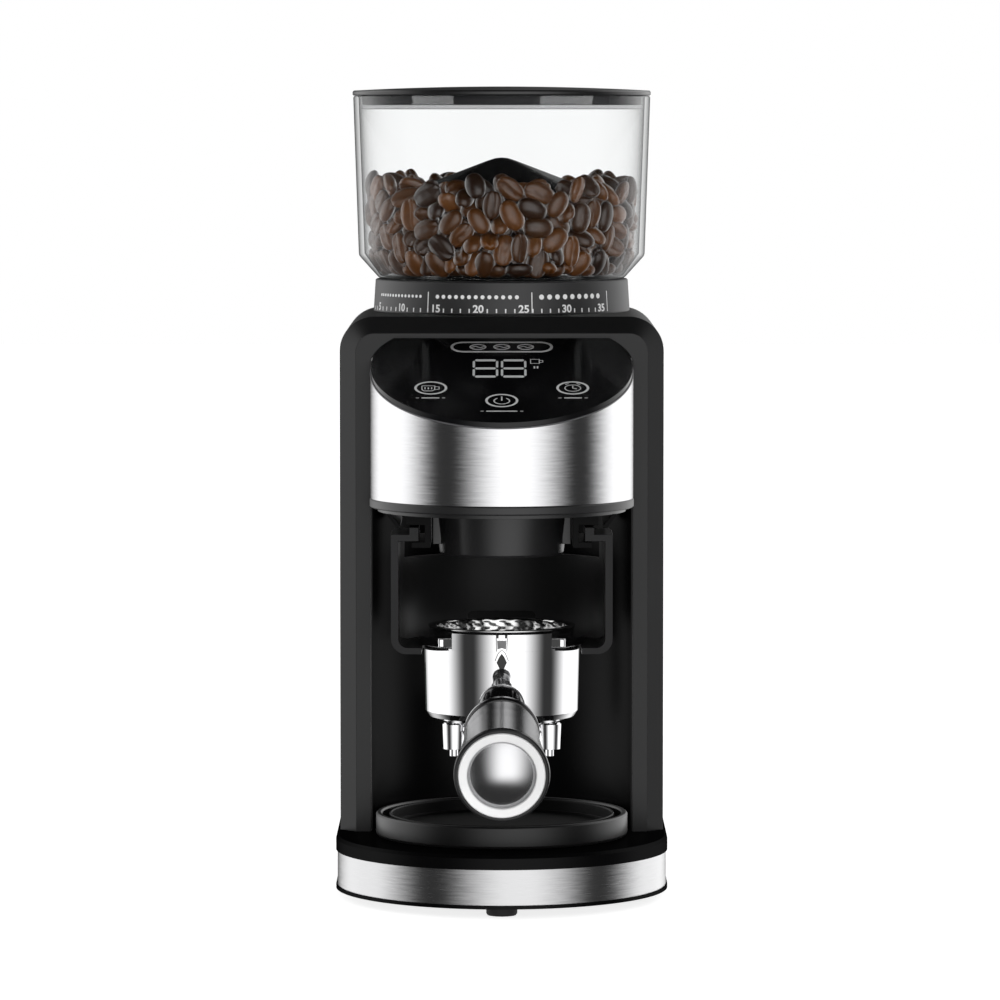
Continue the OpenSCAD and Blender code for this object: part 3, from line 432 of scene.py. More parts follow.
class Shape:
    """Vertices and faces gathered before they become one piece."""

    def __init__(self):
        self.verts = []
        self.faces = []

    def add(self, verts, faces):
        """Take in vertices and the faces between them."""
        start = len(self.verts)
        self.verts.extend(verts)
        self.faces.extend([tuple(start + i for i in face) for face in faces])

    def lathe(self, profile, place=None, steps=96, ripple=None):
        """Closed ring or solid from (radius, height) points in mm, about place's Z axis."""
        place = place or Matrix()
        verts = []
        for i in range(steps):
            angle = 2 * math.pi * i / steps
            for k, (radius, height) in enumerate(profile):
                if ripple:
                    radius, height = ripple(angle, k, radius, height)
                verts.append(place @ Vector((radius * math.cos(angle) * MM,
                                             radius * math.sin(angle) * MM, height * MM)))
        n = len(profile)
        faces = []
        for i in range(steps):
            j = (i + 1) % steps
            for k in range(n):
                after = (k + 1) % n
                faces.append((i * n + k, j * n + k, j * n + after, i * n + after))
        self.add(verts, faces)

    def prism(self, outline, surface, low, high):
        """Solid over a flat outline in mm, from low to high above surface(x, y, height)."""
        n = len(outline)
        verts = [surface(x, y, low) for x, y in outline] + [surface(x, y, high) for x, y in outline]
        faces = [tuple(range(n - 1, -1, -1)), tuple(range(n, 2 * n))]
        faces += [(i, (i + 1) % n, n + (i + 1) % n, n + i) for i in range(n)]
        self.add(verts, faces)

    def stroke(self, path, width, surface, low, high, closed=False):
        """Raised line of constant width along a path in mm."""
        points = [Vector(p) for p in path]
        count = len(points)
        left, right = [], []
        for i, point in enumerate(points):
            before = points[i - 1] if closed or i else point
            after = points[(i + 1) % count] if closed or i < count - 1 else point
            along = (after - before).normalized()
            across = Vector((-along.y, along.x)) * width / 2
            left.append(point + across)
            right.append(point - across)
        verts = []
        for height in (low, high):
            for side in (left, right):
                verts += [surface(p.x, p.y, height) for p in side]
        faces = []
        for i in range(count if closed else count - 1):
            j = (i + 1) % count
            for a, b in ((0, 2), (2, 3), (3, 1), (1, 0)):
                faces.append((a * count + i, a * count + j, b * count + j, b * count + i))
        if not closed:
            end = count - 1
            faces.append((0, count, 3 * count, 2 * count))
            faces.append((end, 2 * count + end, 3 * count + end, count + end))
        self.add(verts, faces)

    def raised(self, points, faces, surface, low, high):
        """Solid over flat faces in mm, walled along the edges that only one face has."""
        edges = [(a, face[(i + 1) % len(face)]) for face in faces for i, a in enumerate(face)]
        inner = set(edges)
        n = len(points)
        verts = [surface(x, y, high) for x, y in points] + [surface(x, y, low) for x, y in points]
        backs = [tuple(n + i for i in reversed(face)) for face in faces]
        walls = [(b, a, n + a, n + b) for a, b in edges if (b, a) not in inner]
        self.add(verts, faces + backs + walls)

    def piece(self, name, material, body, smooth=True):
        """The gathered shape as a piece, with close vertices joined and its faces turned outward."""
        made = add_piece(name, self.verts, self.faces, material, body, smooth)
        bm = bmesh.new()
        bm.from_mesh(made.data)
        bmesh.ops.remove_doubles(bm, verts=bm.verts, dist=0.00002)
        bmesh.ops.recalc_face_normals(bm, faces=bm.faces)
        bm.to_mesh(made.data)
        bm.free()
        return made


def arc(cx, cy, radius, start, end, steps=32, squash=1.0):
    """Points along an arc between two angles in degrees, its height scaled by squash."""
    return [(cx + radius * math.cos(math.radians(start + (end - start) * i / steps)),
             cy + squash * radius * math.sin(math.radians(start + (end - start) * i / steps)))
            for i in range(steps + 1)]


def circle(cx, cy, radius, steps=48):
    """Points round a circle."""
    return arc(cx, cy, radius, 0, 360, steps)[:-1]


# ---------- hopper bowl and beans ----------


CAD_FLOOR = 2.9  # mm from the underside of the CAD bowl's floor up to the bean solid
BED_HEIGHT = 0.95  # mm from the underside of the drawn bowl's thinner floor up to the lowest bean


def bowl_foot():
    """Height in mm of the underside of the bowl's floor."""
    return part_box("coffee_beans")[0].z / MM - CAD_FLOOR


def add_bowl():
    """The clear bowl, with rounded edges and a thin floor round a raised throat."""
    low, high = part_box("hopper_bowl")
    rim, top, throat = (high.x - low.x) / 2 / MM, high.z / MM, low.z / MM
    foot = bowl_foot()
    cone_height, crease = 10.2, math.radians(35)
    turn = foot + cone_height
    # From the rim down the outside, under the floor, round the throat and back up the inside.
    profile = [(rim - 0.8, top), (rim - 0.25, top - 0.25), (rim, top - 0.9), (rim - 0.08, top - 3),
               (67.3, turn + 1.4), (67.05, turn + 0.3), (66.4, turn - 0.6), (58.4, foot + 0.7),
               (57.7, foot + 0.15), (56.8, foot), (38.4, foot), (38.4, throat), (36, throat),
               (36, foot + 2.3), (36.3, foot + 2.5), (43.3, foot + 2.5), (43.8, foot + 2.1),
               (44, foot + 0.9), (56.4, foot + 0.9), (57.2, foot + 1.2), (64.1, turn + 0.5),
               (64.6, turn + 1.3), (67.3, top - 0.9), (67.6, top - 0.2), (68.2, top)]
    shape = Shape()
    shape.lathe(profile, Matrix.Translation(((low.x + high.x) / 2, (low.y + high.y) / 2, 0)), 192)
    bowl = shape.piece("clear_bowl", clear_plastic("hopper_clear"), "hopper")
    bowl.modifiers.new("edges", "EDGE_SPLIT").split_angle = crease
    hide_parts("hopper_bowl")


def settle_beans(count, floor, wall, core, seed):
    """Ends in mm of beans settled between a core and the wall, each a pair of linked balls."""
    random = np.random.default_rng(seed)
    ball, link, spare = 4.15, 6.2, 0.45  # a ball's radius, the link's length, the gap kept to the bowl
    widest, lowest, highest = 59, floor + 4, floor + 75  # the space in which the beans start
    steps, calm_step = 330, 250
    fall, slow_fall = 0.5, 0.1  # mm in a step, before the calm step and from it on
    recount, reach = 6, 3.2  # steps between lists of neighbours, and how far past touching they look
    rounds, give = 3, 0.3  # pushes in a step, and the share of an overlap that each undoes
    least = 1e-6  # keeps divisions from zero
    angle = random.uniform(0, 2 * np.pi, count)
    out = random.uniform(core + 5, widest, count)
    rise = random.uniform(lowest, highest, count)
    centre = np.stack([out * np.cos(angle), out * np.sin(angle), rise], 1)
    turn = random.normal(size=(count, 3))
    turn[:, 2] *= 0.6
    turn /= np.linalg.norm(turn, axis=1, keepdims=True)
    p = np.concatenate([centre - turn * link / 2, centre + turn * link / 2])
    other = np.concatenate([np.arange(count) + count, np.arange(count)])
    for step in range(steps):
        if step % recount == 0:
            gap = p[:, None, :] - p[None, :, :]
            square = np.einsum("ijk,ijk->ij", gap, gap)
            a, b = np.nonzero(np.triu(square < (2 * ball + reach) ** 2, 1))
            a, b = a[other[a] != b], b[other[a] != b]
        p[:, 2] -= fall if step < calm_step else slow_fall
        for _ in range(rounds):
            away = p[a] - p[b]
            size = np.linalg.norm(away, axis=1, keepdims=True) + least
            push = away / size * np.maximum(0, 2 * ball - size) * give
            for axis in range(3):
                p[:, axis] += np.bincount(a, push[:, axis], 2 * count)
                p[:, axis] -= np.bincount(b, push[:, axis], 2 * count)
            middle = (p[:count] + p[count:]) / 2
            half = p[count:] - p[:count]
            half *= link / 2 / (np.linalg.norm(half, axis=1, keepdims=True) + least)
            p[:count], p[count:] = middle - half, middle + half
            p[:, 2] = np.maximum(p[:, 2], floor + ball + spare)
            flat = np.linalg.norm(p[:, :2], axis=1) + least
            scale = np.clip(flat, core + ball, wall(p[:, 2]) - ball - spare) / flat
            p[:, :2] *= scale[:, None]
    return p[:count], p[count:]


def bean_shape(long_steps=20, round_steps=26):
    """One bean in mm: a round back and a flatter face with an S-shaped crease between two lips."""
    half_length, half_width, half_height, flatter = 7.1, 4.95, 3.9, 0.62
    crease_depth, crease_width, crease_bend = 1.7, 0.66, 0.52
    lip_height, lip_width, lip_place = 0.42, 0.9, 1.7
    verts = []
    for i in range(long_steps + 1):
        u = math.pi * i / long_steps
        x = -half_length * math.cos(u)
        width = math.sin(u) ** 0.8 if 0 < i < long_steps else 0.0
        for j in range(round_steps):
            v = 2 * math.pi * j / round_steps
            y = half_width * width * math.cos(v)
            z = half_height * width * math.sin(v)
            if z < 0:
                z *= flatter
                bend = crease_bend * math.sin(x * 0.64)
                near = math.exp(-((y - bend) / crease_width) ** 2)
                z += crease_depth * near * width
                z -= lip_height * math.exp(-((abs(y - bend) - lip_place) / lip_width) ** 2) * width
            verts.append((x, y, z))
    faces = []
    for i in range(long_steps):
        for j in range(round_steps):
            k = (j + 1) % round_steps
            faces.append((i * round_steps + j, i * round_steps + k,
                          (i + 1) * round_steps + k, (i + 1) * round_steps + j))
    return np.array(verts), np.array(faces)


def add_beans():
    """Roasted beans heaped in the bowl round the finger guard, level with the CAD's bean solid."""
    low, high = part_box("hopper_bowl")
    cx, cy = (low.x + high.x) / 2 / MM, (low.y + high.y) / 2 / MM
    floor, top = bowl_foot() + BED_HEIGHT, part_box("coffee_beans")[1].z / MM
    count, core, seed = 430, 44.3, 11
    buried_depth, crease_outward = 12, 0.45
    height = [floor, floor + 0.35, floor + 9.9, high.z / MM]
    radius = [56.3, 57.1, 64.4, 67.1]

    def wall(z):
        return np.interp(z, height, radius)

    tail, head = settle_beans(count, floor, wall, core, seed)
    keep = (tail[:, 2] + head[:, 2]) / 2 < top - 1.5
    tail, head = tail[keep], head[keep]
    seen, buried = bean_shape(18, 20), bean_shape(9, 12)
    all_verts, all_faces, used = [], [], 0
    for a, b in zip(tail, head):
        along = (b - a) / np.linalg.norm(b - a)
        centre = (a + b) / 2
        outward = np.array([centre[0], centre[1], 0.0])
        outward /= np.linalg.norm(outward)
        if centre[2] < floor + 6:
            outward = np.array([0.0, 0.0, 1.0])
        facing = outward * (1 if rng.random() < crease_outward else -1) + rng.normal(size=3) * 0.3
        up = facing - along * np.dot(facing, along)
        up /= np.linalg.norm(up)
        side = np.cross(up, along)
        size = rng.uniform(0.88, 1.06)
        depth = min(wall(centre[2]) - np.linalg.norm(centre[:2]), top - centre[2])
        verts, faces = seen if depth < buried_depth else buried
        axes = np.stack([along, side, up], 1)
        placed = verts * size @ axes.T + centre
        placed[:, 2] += max(0.0, floor + 0.05 - placed[:, 2].min())
        beyond = np.linalg.norm(placed[:, :2], axis=1) - wall(placed[:, 2])
        placed[:, :2] -= max(0.0, beyond.max() + 0.1) * centre[:2] / np.linalg.norm(centre[:2])
        all_faces += (faces + used).tolist()
        all_verts.append((placed + np.array([cx, cy, 0])) * MM)
        used += len(verts)
    piece = add_piece("roasted_beans", np.concatenate(all_verts), all_faces,
                      roasted("bean_roast"), "hopper")
    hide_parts("coffee_beans")


# ---------- portafilter details ----------


def grip_axis():
    """Place whose Z axis runs along the handle towards its end, at the centre of the end cap."""
    cap = NODES["handle_end_cap"].data
    flat = max(cap.polygons, key=lambda p: p.area)
    normal = flat.normal if flat.normal.y < 0 else -flat.normal
    low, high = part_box("handle_end_cap")
    centre = (low + high) / 2
    return Matrix.Translation(centre) @ normal.to_track_quat("Z", "Y").to_matrix().to_4x4()


def add_end_cap():
    """The polished dome in the end of the handle."""
    low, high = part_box("handle_end_cap")
    radius = (high.x - low.x) / 2 / MM
    dome, lift, foot, rings, pole = 4.8, 0.2, -1.6, 48, 0.01
    profile = [(max(pole, radius * k / rings), dome * (1 - (k / rings) ** 2) + lift)
               for k in range(rings, -1, -1)]
    profile = [(pole, foot), (radius, foot)] + profile
    shape = Shape()
    shape.lathe(profile, grip_axis(), 128)
    cap = shape.piece("polished_end_cap", polished("end_dome_polish", (0.66, 0.66, 0.67), 0.22, 0.0),
                      "portafilter")
    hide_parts("handle_end_cap")


def add_collar():
    """The black collar that swells from the neck into the ferrule, with bright wires round it."""
    body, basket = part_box("portafilter_body")[0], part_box("filter_basket")[0]
    depth, rise, slope = 1.6, 7.4, math.radians(27)
    start = Vector((0, body.y + depth * MM, basket.z + rise * MM))
    axis = Vector((0, -math.cos(slope), -math.sin(slope)))
    place = Matrix.Translation(start) @ axis.to_track_quat("Z", "Y").to_matrix().to_4x4()
    collar, wires = Shape(), Shape()
    collar.lathe([(5.2, 19), (7.4, 19), (8.3, 19.4), (9.2, 20.6), (10, 22.4), (10.5, 24.6), (10.8, 28),
                  (11.4, 36), (12, 44), (9, 44), (7, 28)], place, 96)
    wire = 0.32
    for radius, height in ((7.9, 19.25), (9.75, 21.9)):
        wires.lathe([(radius + wire * math.cos(a), height + wire * math.sin(a))
                     for a in (math.pi * k / 5 for k in range(10))], place, 96)
    collar.piece("neck_collar", moulded("collar_gloss_black", (0.004, 0.004, 0.0042), 0.12, relief=0.01),
                 "portafilter")
    wires.piece("collar_wires", polished("wire_polish"), "portafilter")


def add_basket():
    """The filter basket, with its rolled rim and the ripples pressed into its wall."""
    low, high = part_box("filter_basket")
    zl, zh = low.z / MM, high.z / MM
    outer = [(0.01, zl), (25.5, zl), (28.6, zl + 2.2), (30.7, zh - 1), (33.4, zh - 1),
             (33.7, zh - 0.85), (33.8, zh - 0.5), (33.7, zh - 0.15), (33.4, zh), (31, zh),
             (30.5, zh - 0.05)]
    inner = [(30.2 - 0.09 * k, zh - 0.2 - 1.1 * k) for k in range(22)]
    floor = [(27.6, zl + 1.6), (25.2, zl + 0.8), (0.01, zl + 0.8)]
    profile = outer + inner + floor
    depth, waves = 0.3, 26

    def ripple(angle, k, radius, height):
        """The inner wall waves in and out round the basket and down it."""
        if len(outer) <= k < len(outer + inner):
            radius += depth * math.sin(waves * angle + 1.9 * math.sin(0.9 * k)) * math.sin(1.1 * k)
        return radius, height

    shape = Shape()
    shape.lathe(profile, None, 260, ripple)
    basket = shape.piece("rippled_basket", polished("basket_polish", (0.72, 0.72, 0.72), 0.1),
                         "portafilter")
    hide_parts("filter_basket")


def add_front_key():
    """The slot, the key and the diamond on the front of the portafilter, and a pin in each lug."""
    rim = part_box("filter_basket")[1].z / MM
    round_front, lug_front = 35.6, 25.05
    lug_low, lug_high, lug_in, lug_out = 117.2, 120.9, 22.4, 28.6
    pin_low, pin_high, pin_in, pin_out = 117.4, 120.6, 26.6, 28.2

    def surface(x, y, height):
        """x is the distance round the body from its front, y the height over the basket's rim."""
        angle, radius = x / round_front, round_front + height
        return Vector((radius * math.sin(angle), -radius * math.cos(angle), rim + y)) * MM

    def flat(x, z, height):
        """x and z are places on the flat front of a lug."""
        return Vector((x, -lug_front - height, z)) * MM

    def block(side, left, right, bottom, top):
        """The outline of a rectangle on one side."""
        return [(side * x, z) for x, z in ((left, bottom), (right, bottom), (right, top), (left, top))]

    dark, bright, grey = Shape(), Shape(), Shape()
    dark.prism([(-2.6, -3.2), (2.6, -3.2), (2.6, -1.7), (-2.6, -1.7)], surface, -0.4, 0.06)
    dark.prism([(0, -18.4), (1.2, -16.6), (2.3, -14.2), (1.2, -11.8), (0, -10.2), (-1.2, -11.8),
                (-2.3, -14.2), (-1.2, -16.6)], surface, -0.4, 0.5)
    dark.stroke([(-3.0, -13.4), (-1.7, -10.2), (0, -8.4), (1.7, -10.2), (3.0, -13.4)], 0.3,
                surface, -0.3, 0.1)
    for side in (-1, 1):
        dark.stroke([(side * 2.55, -3.2), (side * 2.3, -9.2)], 0.3, surface, -0.3, 0.12)
    bright.prism([(-2.3, -4.3), (2.3, -4.3), (2.3, -3.4), (-2.3, -3.4)], surface, -0.4, 0.5)
    grey.prism([(-1.9, -8.2), (0, -7.6), (1.9, -8.2), (2.1, -4.3), (-2.1, -4.3)], surface, -0.4, 0.3)
    for side in (-1, 1):
        dark.prism(block(side, lug_in, lug_out, lug_low, lug_high), flat, -0.1, 0.12)
        bright.prism(block(side, pin_in, pin_out, pin_low, pin_high), flat, 0.0, 0.3)
    dark.piece("front_slot", moulded("slot_black", (0.005, 0.005, 0.005), 0.3), "portafilter", False)
    bright.piece("front_key", polished("key_polish"), "portafilter", False)
    grey.piece("key_shank", turned("key_shank_satin", (0.22, 0.22, 0.225), 0.45), "portafilter", False)


# ---------- print on the panel and the scale ring ----------


def panel_surface():
    """The panel's upper face: x across, y up the slope, height off it, all in mm."""
    flat = [p for p in NODES["control_panel"].data.polygons if p.normal.z > 0.5]
    face = max(flat, key=lambda p: p.area)
    normal = face.normal.normalized()
    level = face.center.z + normal.y / normal.z * face.center.y
    up = normal.cross(Vector((1, 0, 0)))
    origin = Vector((0, 0, level))
    return lambda x, y, height: origin + (Vector((x, 0, 0)) + up * y + normal * height) * MM


def digit_eight(shape, surface, x, y, width, height, low, high):
    """All seven bars of a display digit, whose upright bars are t wide and level ones s high."""
    t, s = 1.05, 2.3
    middle = y + height / 2
    left, right = x + t * 0.9, x + width - t * 0.9
    inner_left, inner_right = x + t * 1.5, x + width - t * 1.5
    for base in (y + s / 2, middle, y + height - s / 2):
        shape.prism([(left, base), (inner_left, base - s / 2), (inner_right, base - s / 2),
                     (right, base), (inner_right, base + s / 2), (inner_left, base + s / 2)],
                    surface, low, high)
    for side in (x + t / 2, x + width - t / 2):
        for bottom, top in ((y + s * 0.75, middle - s * 0.35), (middle + s * 0.35, y + height - s * 0.75)):
            shape.prism([(side, bottom), (side + t / 2, bottom + 0.9), (side + t / 2, top - 0.9),
                         (side, top), (side - t / 2, top - 0.9), (side - t / 2, bottom + 0.9)],
                        surface, low, high)


def add_digits(surface, low, high):
    """The display's two digits, with every bar lit."""
    foot, width, height = -12.6, 11.7, 21.2
    lit = Shape()
    for left in (-13.3, -0.4):
        digit_eight(lit, surface, left, foot, width, height, low, high)
    lit.piece("display_digits", printed("display_lit", (0.62, 0.64, 0.64), 0.12), "housing", False)


def add_key_marks(surface, low, high):
    """The sign beside the digits, and a ring, a symbol and dashes for each of the three touch keys."""
    marks = Shape()
    ring_radius, ring_width, dash_width, dot_width = 6.9, 1.1, 0.9, 0.45

    def line(path, width, closed=False):
        marks.stroke(path, width, surface, low, high, closed)

    def bar(left, foot, width, height):
        marks.prism([(left, foot), (left + width, foot), (left + width, foot + height),
                     (left, foot + height)], surface, low, high)

    # A small cup over two bars, beside the digits.
    line([(13.2, 3.8), (13.2, 8.6), (17.2, 8.6), (17.2, 3.8)], 0.5, True)
    line([(17.2, 7.6), (18.8, 7.2), (18.8, 5.2), (17.2, 4.8)], 0.4)
    for left in (14.6, 16.0):
        bar(left, -2.0, 0.7, 2.6)
    for cx, cy in ((-32.2, -24.6), (32.2, -24.6), (0, -39)):
        line(circle(cx, cy, ring_radius, 64), ring_width, True)
    # The left key: a cup with three bars in it.
    line([(-36.2, -22.2), (-36.2, -26.4), (-35.2, -28), (-31.4, -28), (-30.4, -26.4), (-30.4, -22.2)],
         0.5, True)
    line([(-30.4, -23), (-28.4, -23.4), (-28.4, -26), (-30.4, -26.6)], 0.45)
    for middle in (-34.8, -33.3, -31.8):
        bar(middle - 0.25, -26, 0.5, 2)
    # The right key: a clock with two bells.
    line(circle(32.2, -24.8, 3.6, 40), 0.45, True)
    line([(32.2, -22.2), (32.2, -24.9), (34, -25.8)], 0.5)
    line([(28.9, -20.6), (30.4, -19.6)], 0.5)
    line([(34, -19.6), (35.5, -20.6)], 0.5)
    # The lower key: an open ring with an upright bar.
    line(arc(0, -39.4, 3.5, 125, 415, 40), 0.55)
    line([(0, -34.6), (0, -39)], 0.6)
    for cx, cy, half in ((-32.2, -36, 4), (32.2, -36, 4), (0, -51, 7)):
        line([(cx - half, cy), (cx + half, cy)], dash_width)
        for side in (-1, 1):
            line([(cx + side * (half + 1.2), cy), (cx + side * (half + 2.6), cy)], dot_width)
    # The marks glow a little: a painted glow that brightens the print.
    marks.piece("panel_print", printed("panel_print_painted_glow", (0.66, 0.67, 0.67), 0.1), "housing", False)


def add_badge(surface, low, high):
    """A long rounded frame round three beans, each with its crease."""
    badge = Shape()
    middle, half, radius, bean_radius, frame_high = 23.2, 17.4, 5.6, 3.6, 0.12
    outline = ([(x + half, middle + y) for x, y in arc(0, 0, radius, -90, 90, 24)]
               + [(x - half, middle + y) for x, y in arc(0, 0, radius, 90, 270, 24)])
    badge.stroke(outline, 1.25, surface, low, frame_high, True)
    for cx in (-11, 0, 11):
        bean = [(cx + x, middle + y) for x, y in arc(0, 0, bean_radius, 0, 360, 36, 0.8)][:-1]
        badge.stroke(bean, 0.7, surface, low, high, True)
        badge.stroke([(cx - 3.2, middle - 0.6), (cx - 1, middle + 0.7), (cx + 1, middle - 0.7),
                      (cx + 3.2, middle + 0.6)], 0.6, surface, low, high)
    # The badge glows a little: a painted glow that brightens the silver print.
    badge.piece("bean_badge", printed("badge_silver_painted_glow", (0.62, 0.62, 0.62), 0.08), "housing", False)


def add_panel_print():
    """All that is printed or lit on the panel, as thin raised pieces."""
    surface = panel_surface()
    under, over, badge_over = -0.02, 0.04, 0.1
    add_digits(surface, under, over)
    add_key_marks(surface, under, over)
    add_badge(surface, under, badge_over)


def number_outlines(text, size):
    """Triangles of a number in mm, centred across, from the built-in font thickened by 0.13."""
    curve = bpy.data.curves.new("number", "FONT")
    curve.body = text
    curve.size = size
    curve.offset = 0.13
    curve.align_x = "CENTER"
    holder = bpy.data.objects.new("number", curve)
    bpy.context.scene.collection.objects.link(holder)
    bpy.context.view_layer.update()
    mesh = holder.to_mesh()
    verts = [(v.co.x, v.co.y) for v in mesh.vertices]
    faces = [tuple(p.vertices) for p in mesh.polygons]
    holder.to_mesh_clear()
    bpy.data.objects.remove(holder)
    bpy.data.curves.remove(curve)
    return verts, faces


def add_scale_print():
    """Ticks, numbers and a coarseness row of dots round the front of the scale ring."""
    low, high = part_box("grind_scale_ring")
    cx, cy = (low.x + high.x) / 2, (low.y + high.y) / 2
    wide = (high.x - low.x) / 2 / MM
    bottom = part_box("front_housing")[1].z / MM + 0.5
    narrowing, narrow_from, narrow_over = 0.9, 0.5, 14
    zero_angle, setting_angle = -91.2, 4.04
    number_size, number_stretch, number_foot = 4.9, 1.05, 1.1
    under, over = -0.05, 0.06

    def surface(x, y, height):
        """x is the distance round the ring to the right of its front, y the height over its foot."""
        radius = wide - narrowing * min(1, max(0, (y - narrow_from) / narrow_over)) + height
        angle = x / wide
        return Vector((cx + radius * math.sin(angle) * MM, cy - radius * math.cos(angle) * MM,
                       (bottom + y) * MM))

    def at(setting):
        """The distance round the ring at which a setting stands."""
        return math.radians(zero_angle + setting_angle * setting) * wide

    shape = Shape()
    for setting in range(3, 36):
        x = at(setting)
        if setting % 5 == 0:
            verts, faces = number_outlines(str(setting), number_size)
            points = [(x + u * number_stretch, number_foot + v) for u, v in verts]
            shape.raised(points, faces, surface, under, over)
        else:
            shape.stroke([(x, 0.9), (x, 2.8)], 0.62, surface, under, over)
    for setting in (14.0, 25.9, 36.1):
        shape.stroke([(at(setting), y) for y in (1.0, 4, 7, 10.4)], 0.42, surface, under, over)
    # Rows of dots: the settings they run from and to, a dot's radius, the gap added to its width.
    rows = ((5.4, 13.0, 0.72, 0.3), (15.2, 24.9, 0.95, 0.35), (27.0, 35.2, 1.2, 0.4))
    row_height = 8.2
    for first, last, radius, gap in rows:
        x = at(first)
        while x < at(last):
            shape.prism(circle(x, row_height, radius, 18), surface, under, over)
            x += radius * 2 + gap + radius
    # The ring's print glows a little: a painted glow that makes it brighter than the light on it.
    shape.piece("scale_print", printed("scale_print_painted_glow", (0.8, 0.8, 0.8), 0.12), "grind_ring", False)


add_bowl()
add_beans()
add_panel_print()
add_scale_print()
add_end_cap()
add_collar()
add_basket()
add_front_key()


# ---------- stage ----------


def add_floor():
    """A wide pale floor that glows a little, so that it stays white behind the object."""
    mesh = bpy.data.meshes.new("floor")
    half = 6.0
    mesh.from_pydata([(-half, -half, 0), (half, -half, 0), (half, half, 0), (-half, half, 0)], [],
                     [(0, 1, 2, 3)])
    floor = bpy.data.objects.new("floor", mesh)
    bpy.context.scene.collection.objects.link(floor)
    s = Shader("floor_pale")
    shader = s.principled((0.86, 0.86, 0.86), 0.9)
    shader.inputs["Emission Color"].default_value = (1, 1, 1, 1)
    shader.inputs["Emission Strength"].default_value = 0.8
    mesh.materials.append(s.material)
    floor.visible_glossy = False


def soft_box(studio, angle, centre, half, soft, strength):
    """How bright a soft box is at an angle: strength within half of its centre, soft at its edge."""
    away = studio.math("ABSOLUTE", studio.math("SUBTRACT", angle, centre))
    edge = studio.node("ShaderNodeMapRange", interpolation_type="SMOOTHSTEP")
    edge.inputs["From Min"].default_value = half + soft
    edge.inputs["From Max"].default_value = half - soft
    edge.inputs["To Max"].default_value = strength
    studio.link(away, edge.inputs["Value"])
    return edge.outputs["Result"]


def add_world():
    """Three tall soft boxes round the object with dark gaps between them. The camera sees white.

    Azimuths are in degrees from straight in front of the object, elevations from level.
    """
    world = bpy.data.worlds.new("studio")
    bpy.context.scene.world = world
    world.use_nodes = True
    studio = Nodes(world.node_tree)
    direction = studio.node("ShaderNodeTexCoord")
    split = studio.node("ShaderNodeSeparateXYZ")
    studio.link(direction.outputs["Generated"], split.inputs[0])
    to_front = studio.math("MULTIPLY", split.outputs["Y"], -1.0)
    azimuth = studio.math("DEGREES", studio.math("ARCTAN2", split.outputs["X"], to_front))
    elevation = studio.math("DEGREES", studio.math("ARCSINE", split.outputs["Z"]))
    front = soft_box(studio, azimuth, centre=12.0, half=32.0, soft=24.0, strength=2.0)
    left = soft_box(studio, azimuth, centre=-115.0, half=37.0, soft=22.0, strength=1.9)
    right = soft_box(studio, azimuth, centre=131.0, half=33.0, soft=20.0, strength=1.9)
    total = studio.math("ADD", studio.math("ADD", front, left), right)
    tall = soft_box(studio, elevation, centre=8.0, half=38.0, soft=14.0, strength=1.0)
    fill = studio.node("ShaderNodeMapRange")
    for socket, value in (("From Min", 35.0), ("From Max", 75.0), ("To Min", 0.05), ("To Max", 0.012)):
        fill.inputs[socket].default_value = value
    studio.link(elevation, fill.inputs["Value"])
    level = studio.math("ADD", studio.math("MULTIPLY", total, tall), fill.outputs["Result"])
    lit = studio.node("ShaderNodeBackground")
    studio.link(level, lit.inputs["Strength"])
    white = studio.node("ShaderNodeBackground")
    white.inputs["Strength"].default_value = 1.0
    white.inputs["Color"].default_value = (1, 1, 1, 1)
    path = studio.node("ShaderNodeLightPath")
    output = studio.node("ShaderNodeOutputWorld")
    studio.mixed(path.outputs["Is Camera Ray"], lit, white, output.inputs["Surface"])


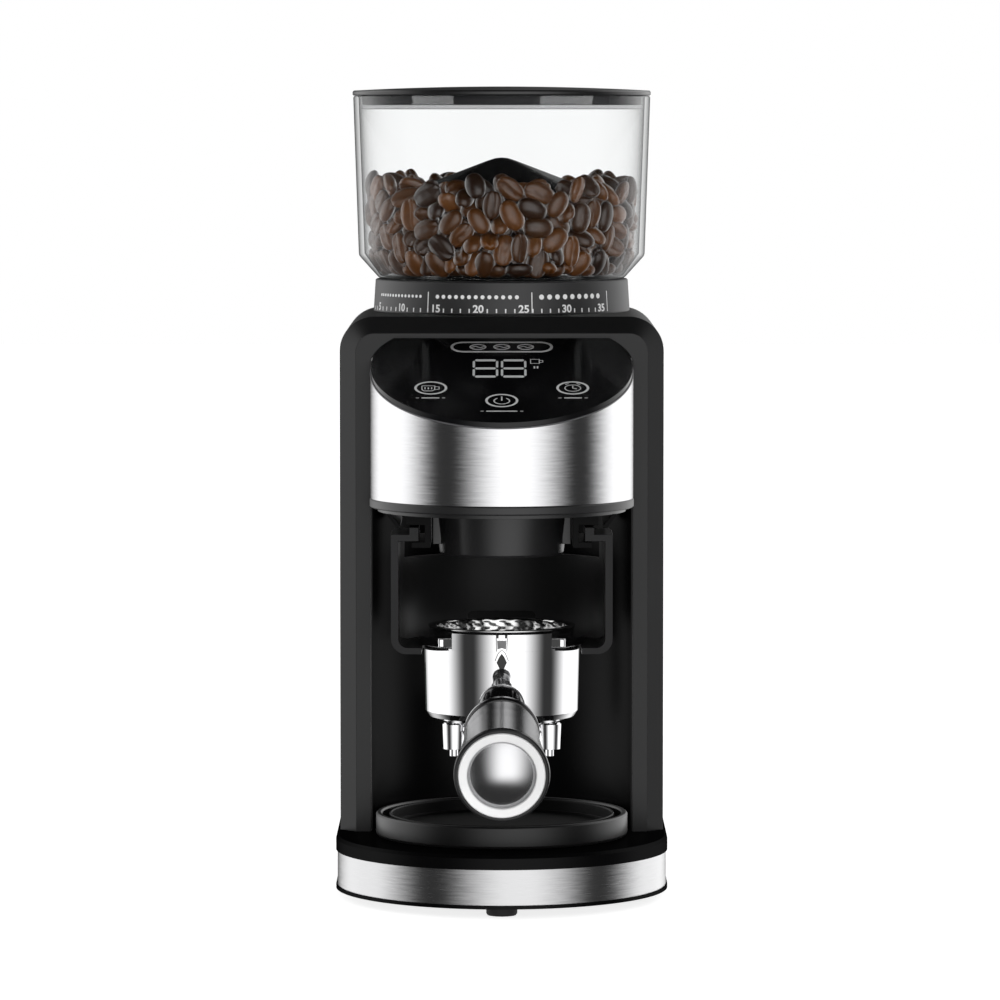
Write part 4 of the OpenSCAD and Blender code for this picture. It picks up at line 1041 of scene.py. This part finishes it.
def add_camera():
    """The camera of the photo: far off, a little above the object and looking slightly down."""
    aside, distance, height, downward = -0.8, 2560, 361.7, 4.004
    camera_data = bpy.data.cameras.new("camera")
    camera_data.lens = 201.6
    camera_data.sensor_width = 36.0
    camera_data.clip_end = 50.0
    camera = bpy.data.objects.new("camera", camera_data)
    camera.location = (aside * MM, -distance * MM, height * MM)
    camera.rotation_euler = (math.radians(90 - downward), 0, 0)
    bpy.context.scene.collection.objects.link(camera)
    bpy.context.scene.camera = camera


def collect(name, *parts):
    """A collection of parts for a light to be linked to."""
    group = bpy.data.collections.new(name)
    for part in parts:
        group.objects.link(part)
    return group


def add_linked_light(name, centre, azimuth, half, radiance, catch):
    """A tall soft box at an azimuth round centre that only the parts in catch take light from."""
    away, tall, lift = 1.1, 1.3, 0.05
    data = bpy.data.lights.new(name, "AREA")
    data.shape = "RECTANGLE"
    data.size = 2 * away * math.tan(math.radians(half))
    data.size_y = tall
    data.energy = radiance * math.pi * data.size * tall
    light = bpy.data.objects.new(name, data)
    turn = math.radians(azimuth)
    light.location = centre + Vector((math.sin(turn), -math.cos(turn), lift)) * away
    light.rotation_euler = (centre - light.location).to_track_quat("-Z", "Y").to_euler()
    bpy.context.scene.collection.objects.link(light)
    light.light_linking.receiver_collection = catch


def add_linked_lights():
    """Soft boxes that show only in the hopper, and brighter ones that show only in the lid's skirt."""
    hopper = collect("hopper_catch", bpy.data.objects["clear_bowl"], NODES["lid_gasket"])
    skirt = collect("skirt_catch", NODES["lid_skirt"])
    middle = centre_of("hopper_bowl")
    add_linked_light("hopper_box_left", middle, azimuth=-58, half=21, radiance=3.6, catch=hopper)
    add_linked_light("hopper_box_right", middle, azimuth=55, half=31, radiance=3.6, catch=hopper)
    add_linked_light("skirt_box_left", middle, azimuth=-58, half=19, radiance=30.0, catch=skirt)
    add_linked_light("skirt_box_right", middle, azimuth=55, half=24, radiance=30.0, catch=skirt)


def hide_from_reflections():
    """Let the bright metal show the soft boxes rather than the dark parts beside it."""
    for name in ("bay_liner", "front_housing", "rear_cover", "grind_scale_ring"):
        NODES[name].visible_glossy = False
    for name in ("roasted_beans", "scale_print"):
        bpy.data.objects[name].visible_glossy = False


hide_from_reflections()
add_floor()
add_world()
add_linked_lights()
add_camera()
bpy.context.scene.view_settings.view_transform = "Standard"

bpy.context.view_layer.update()
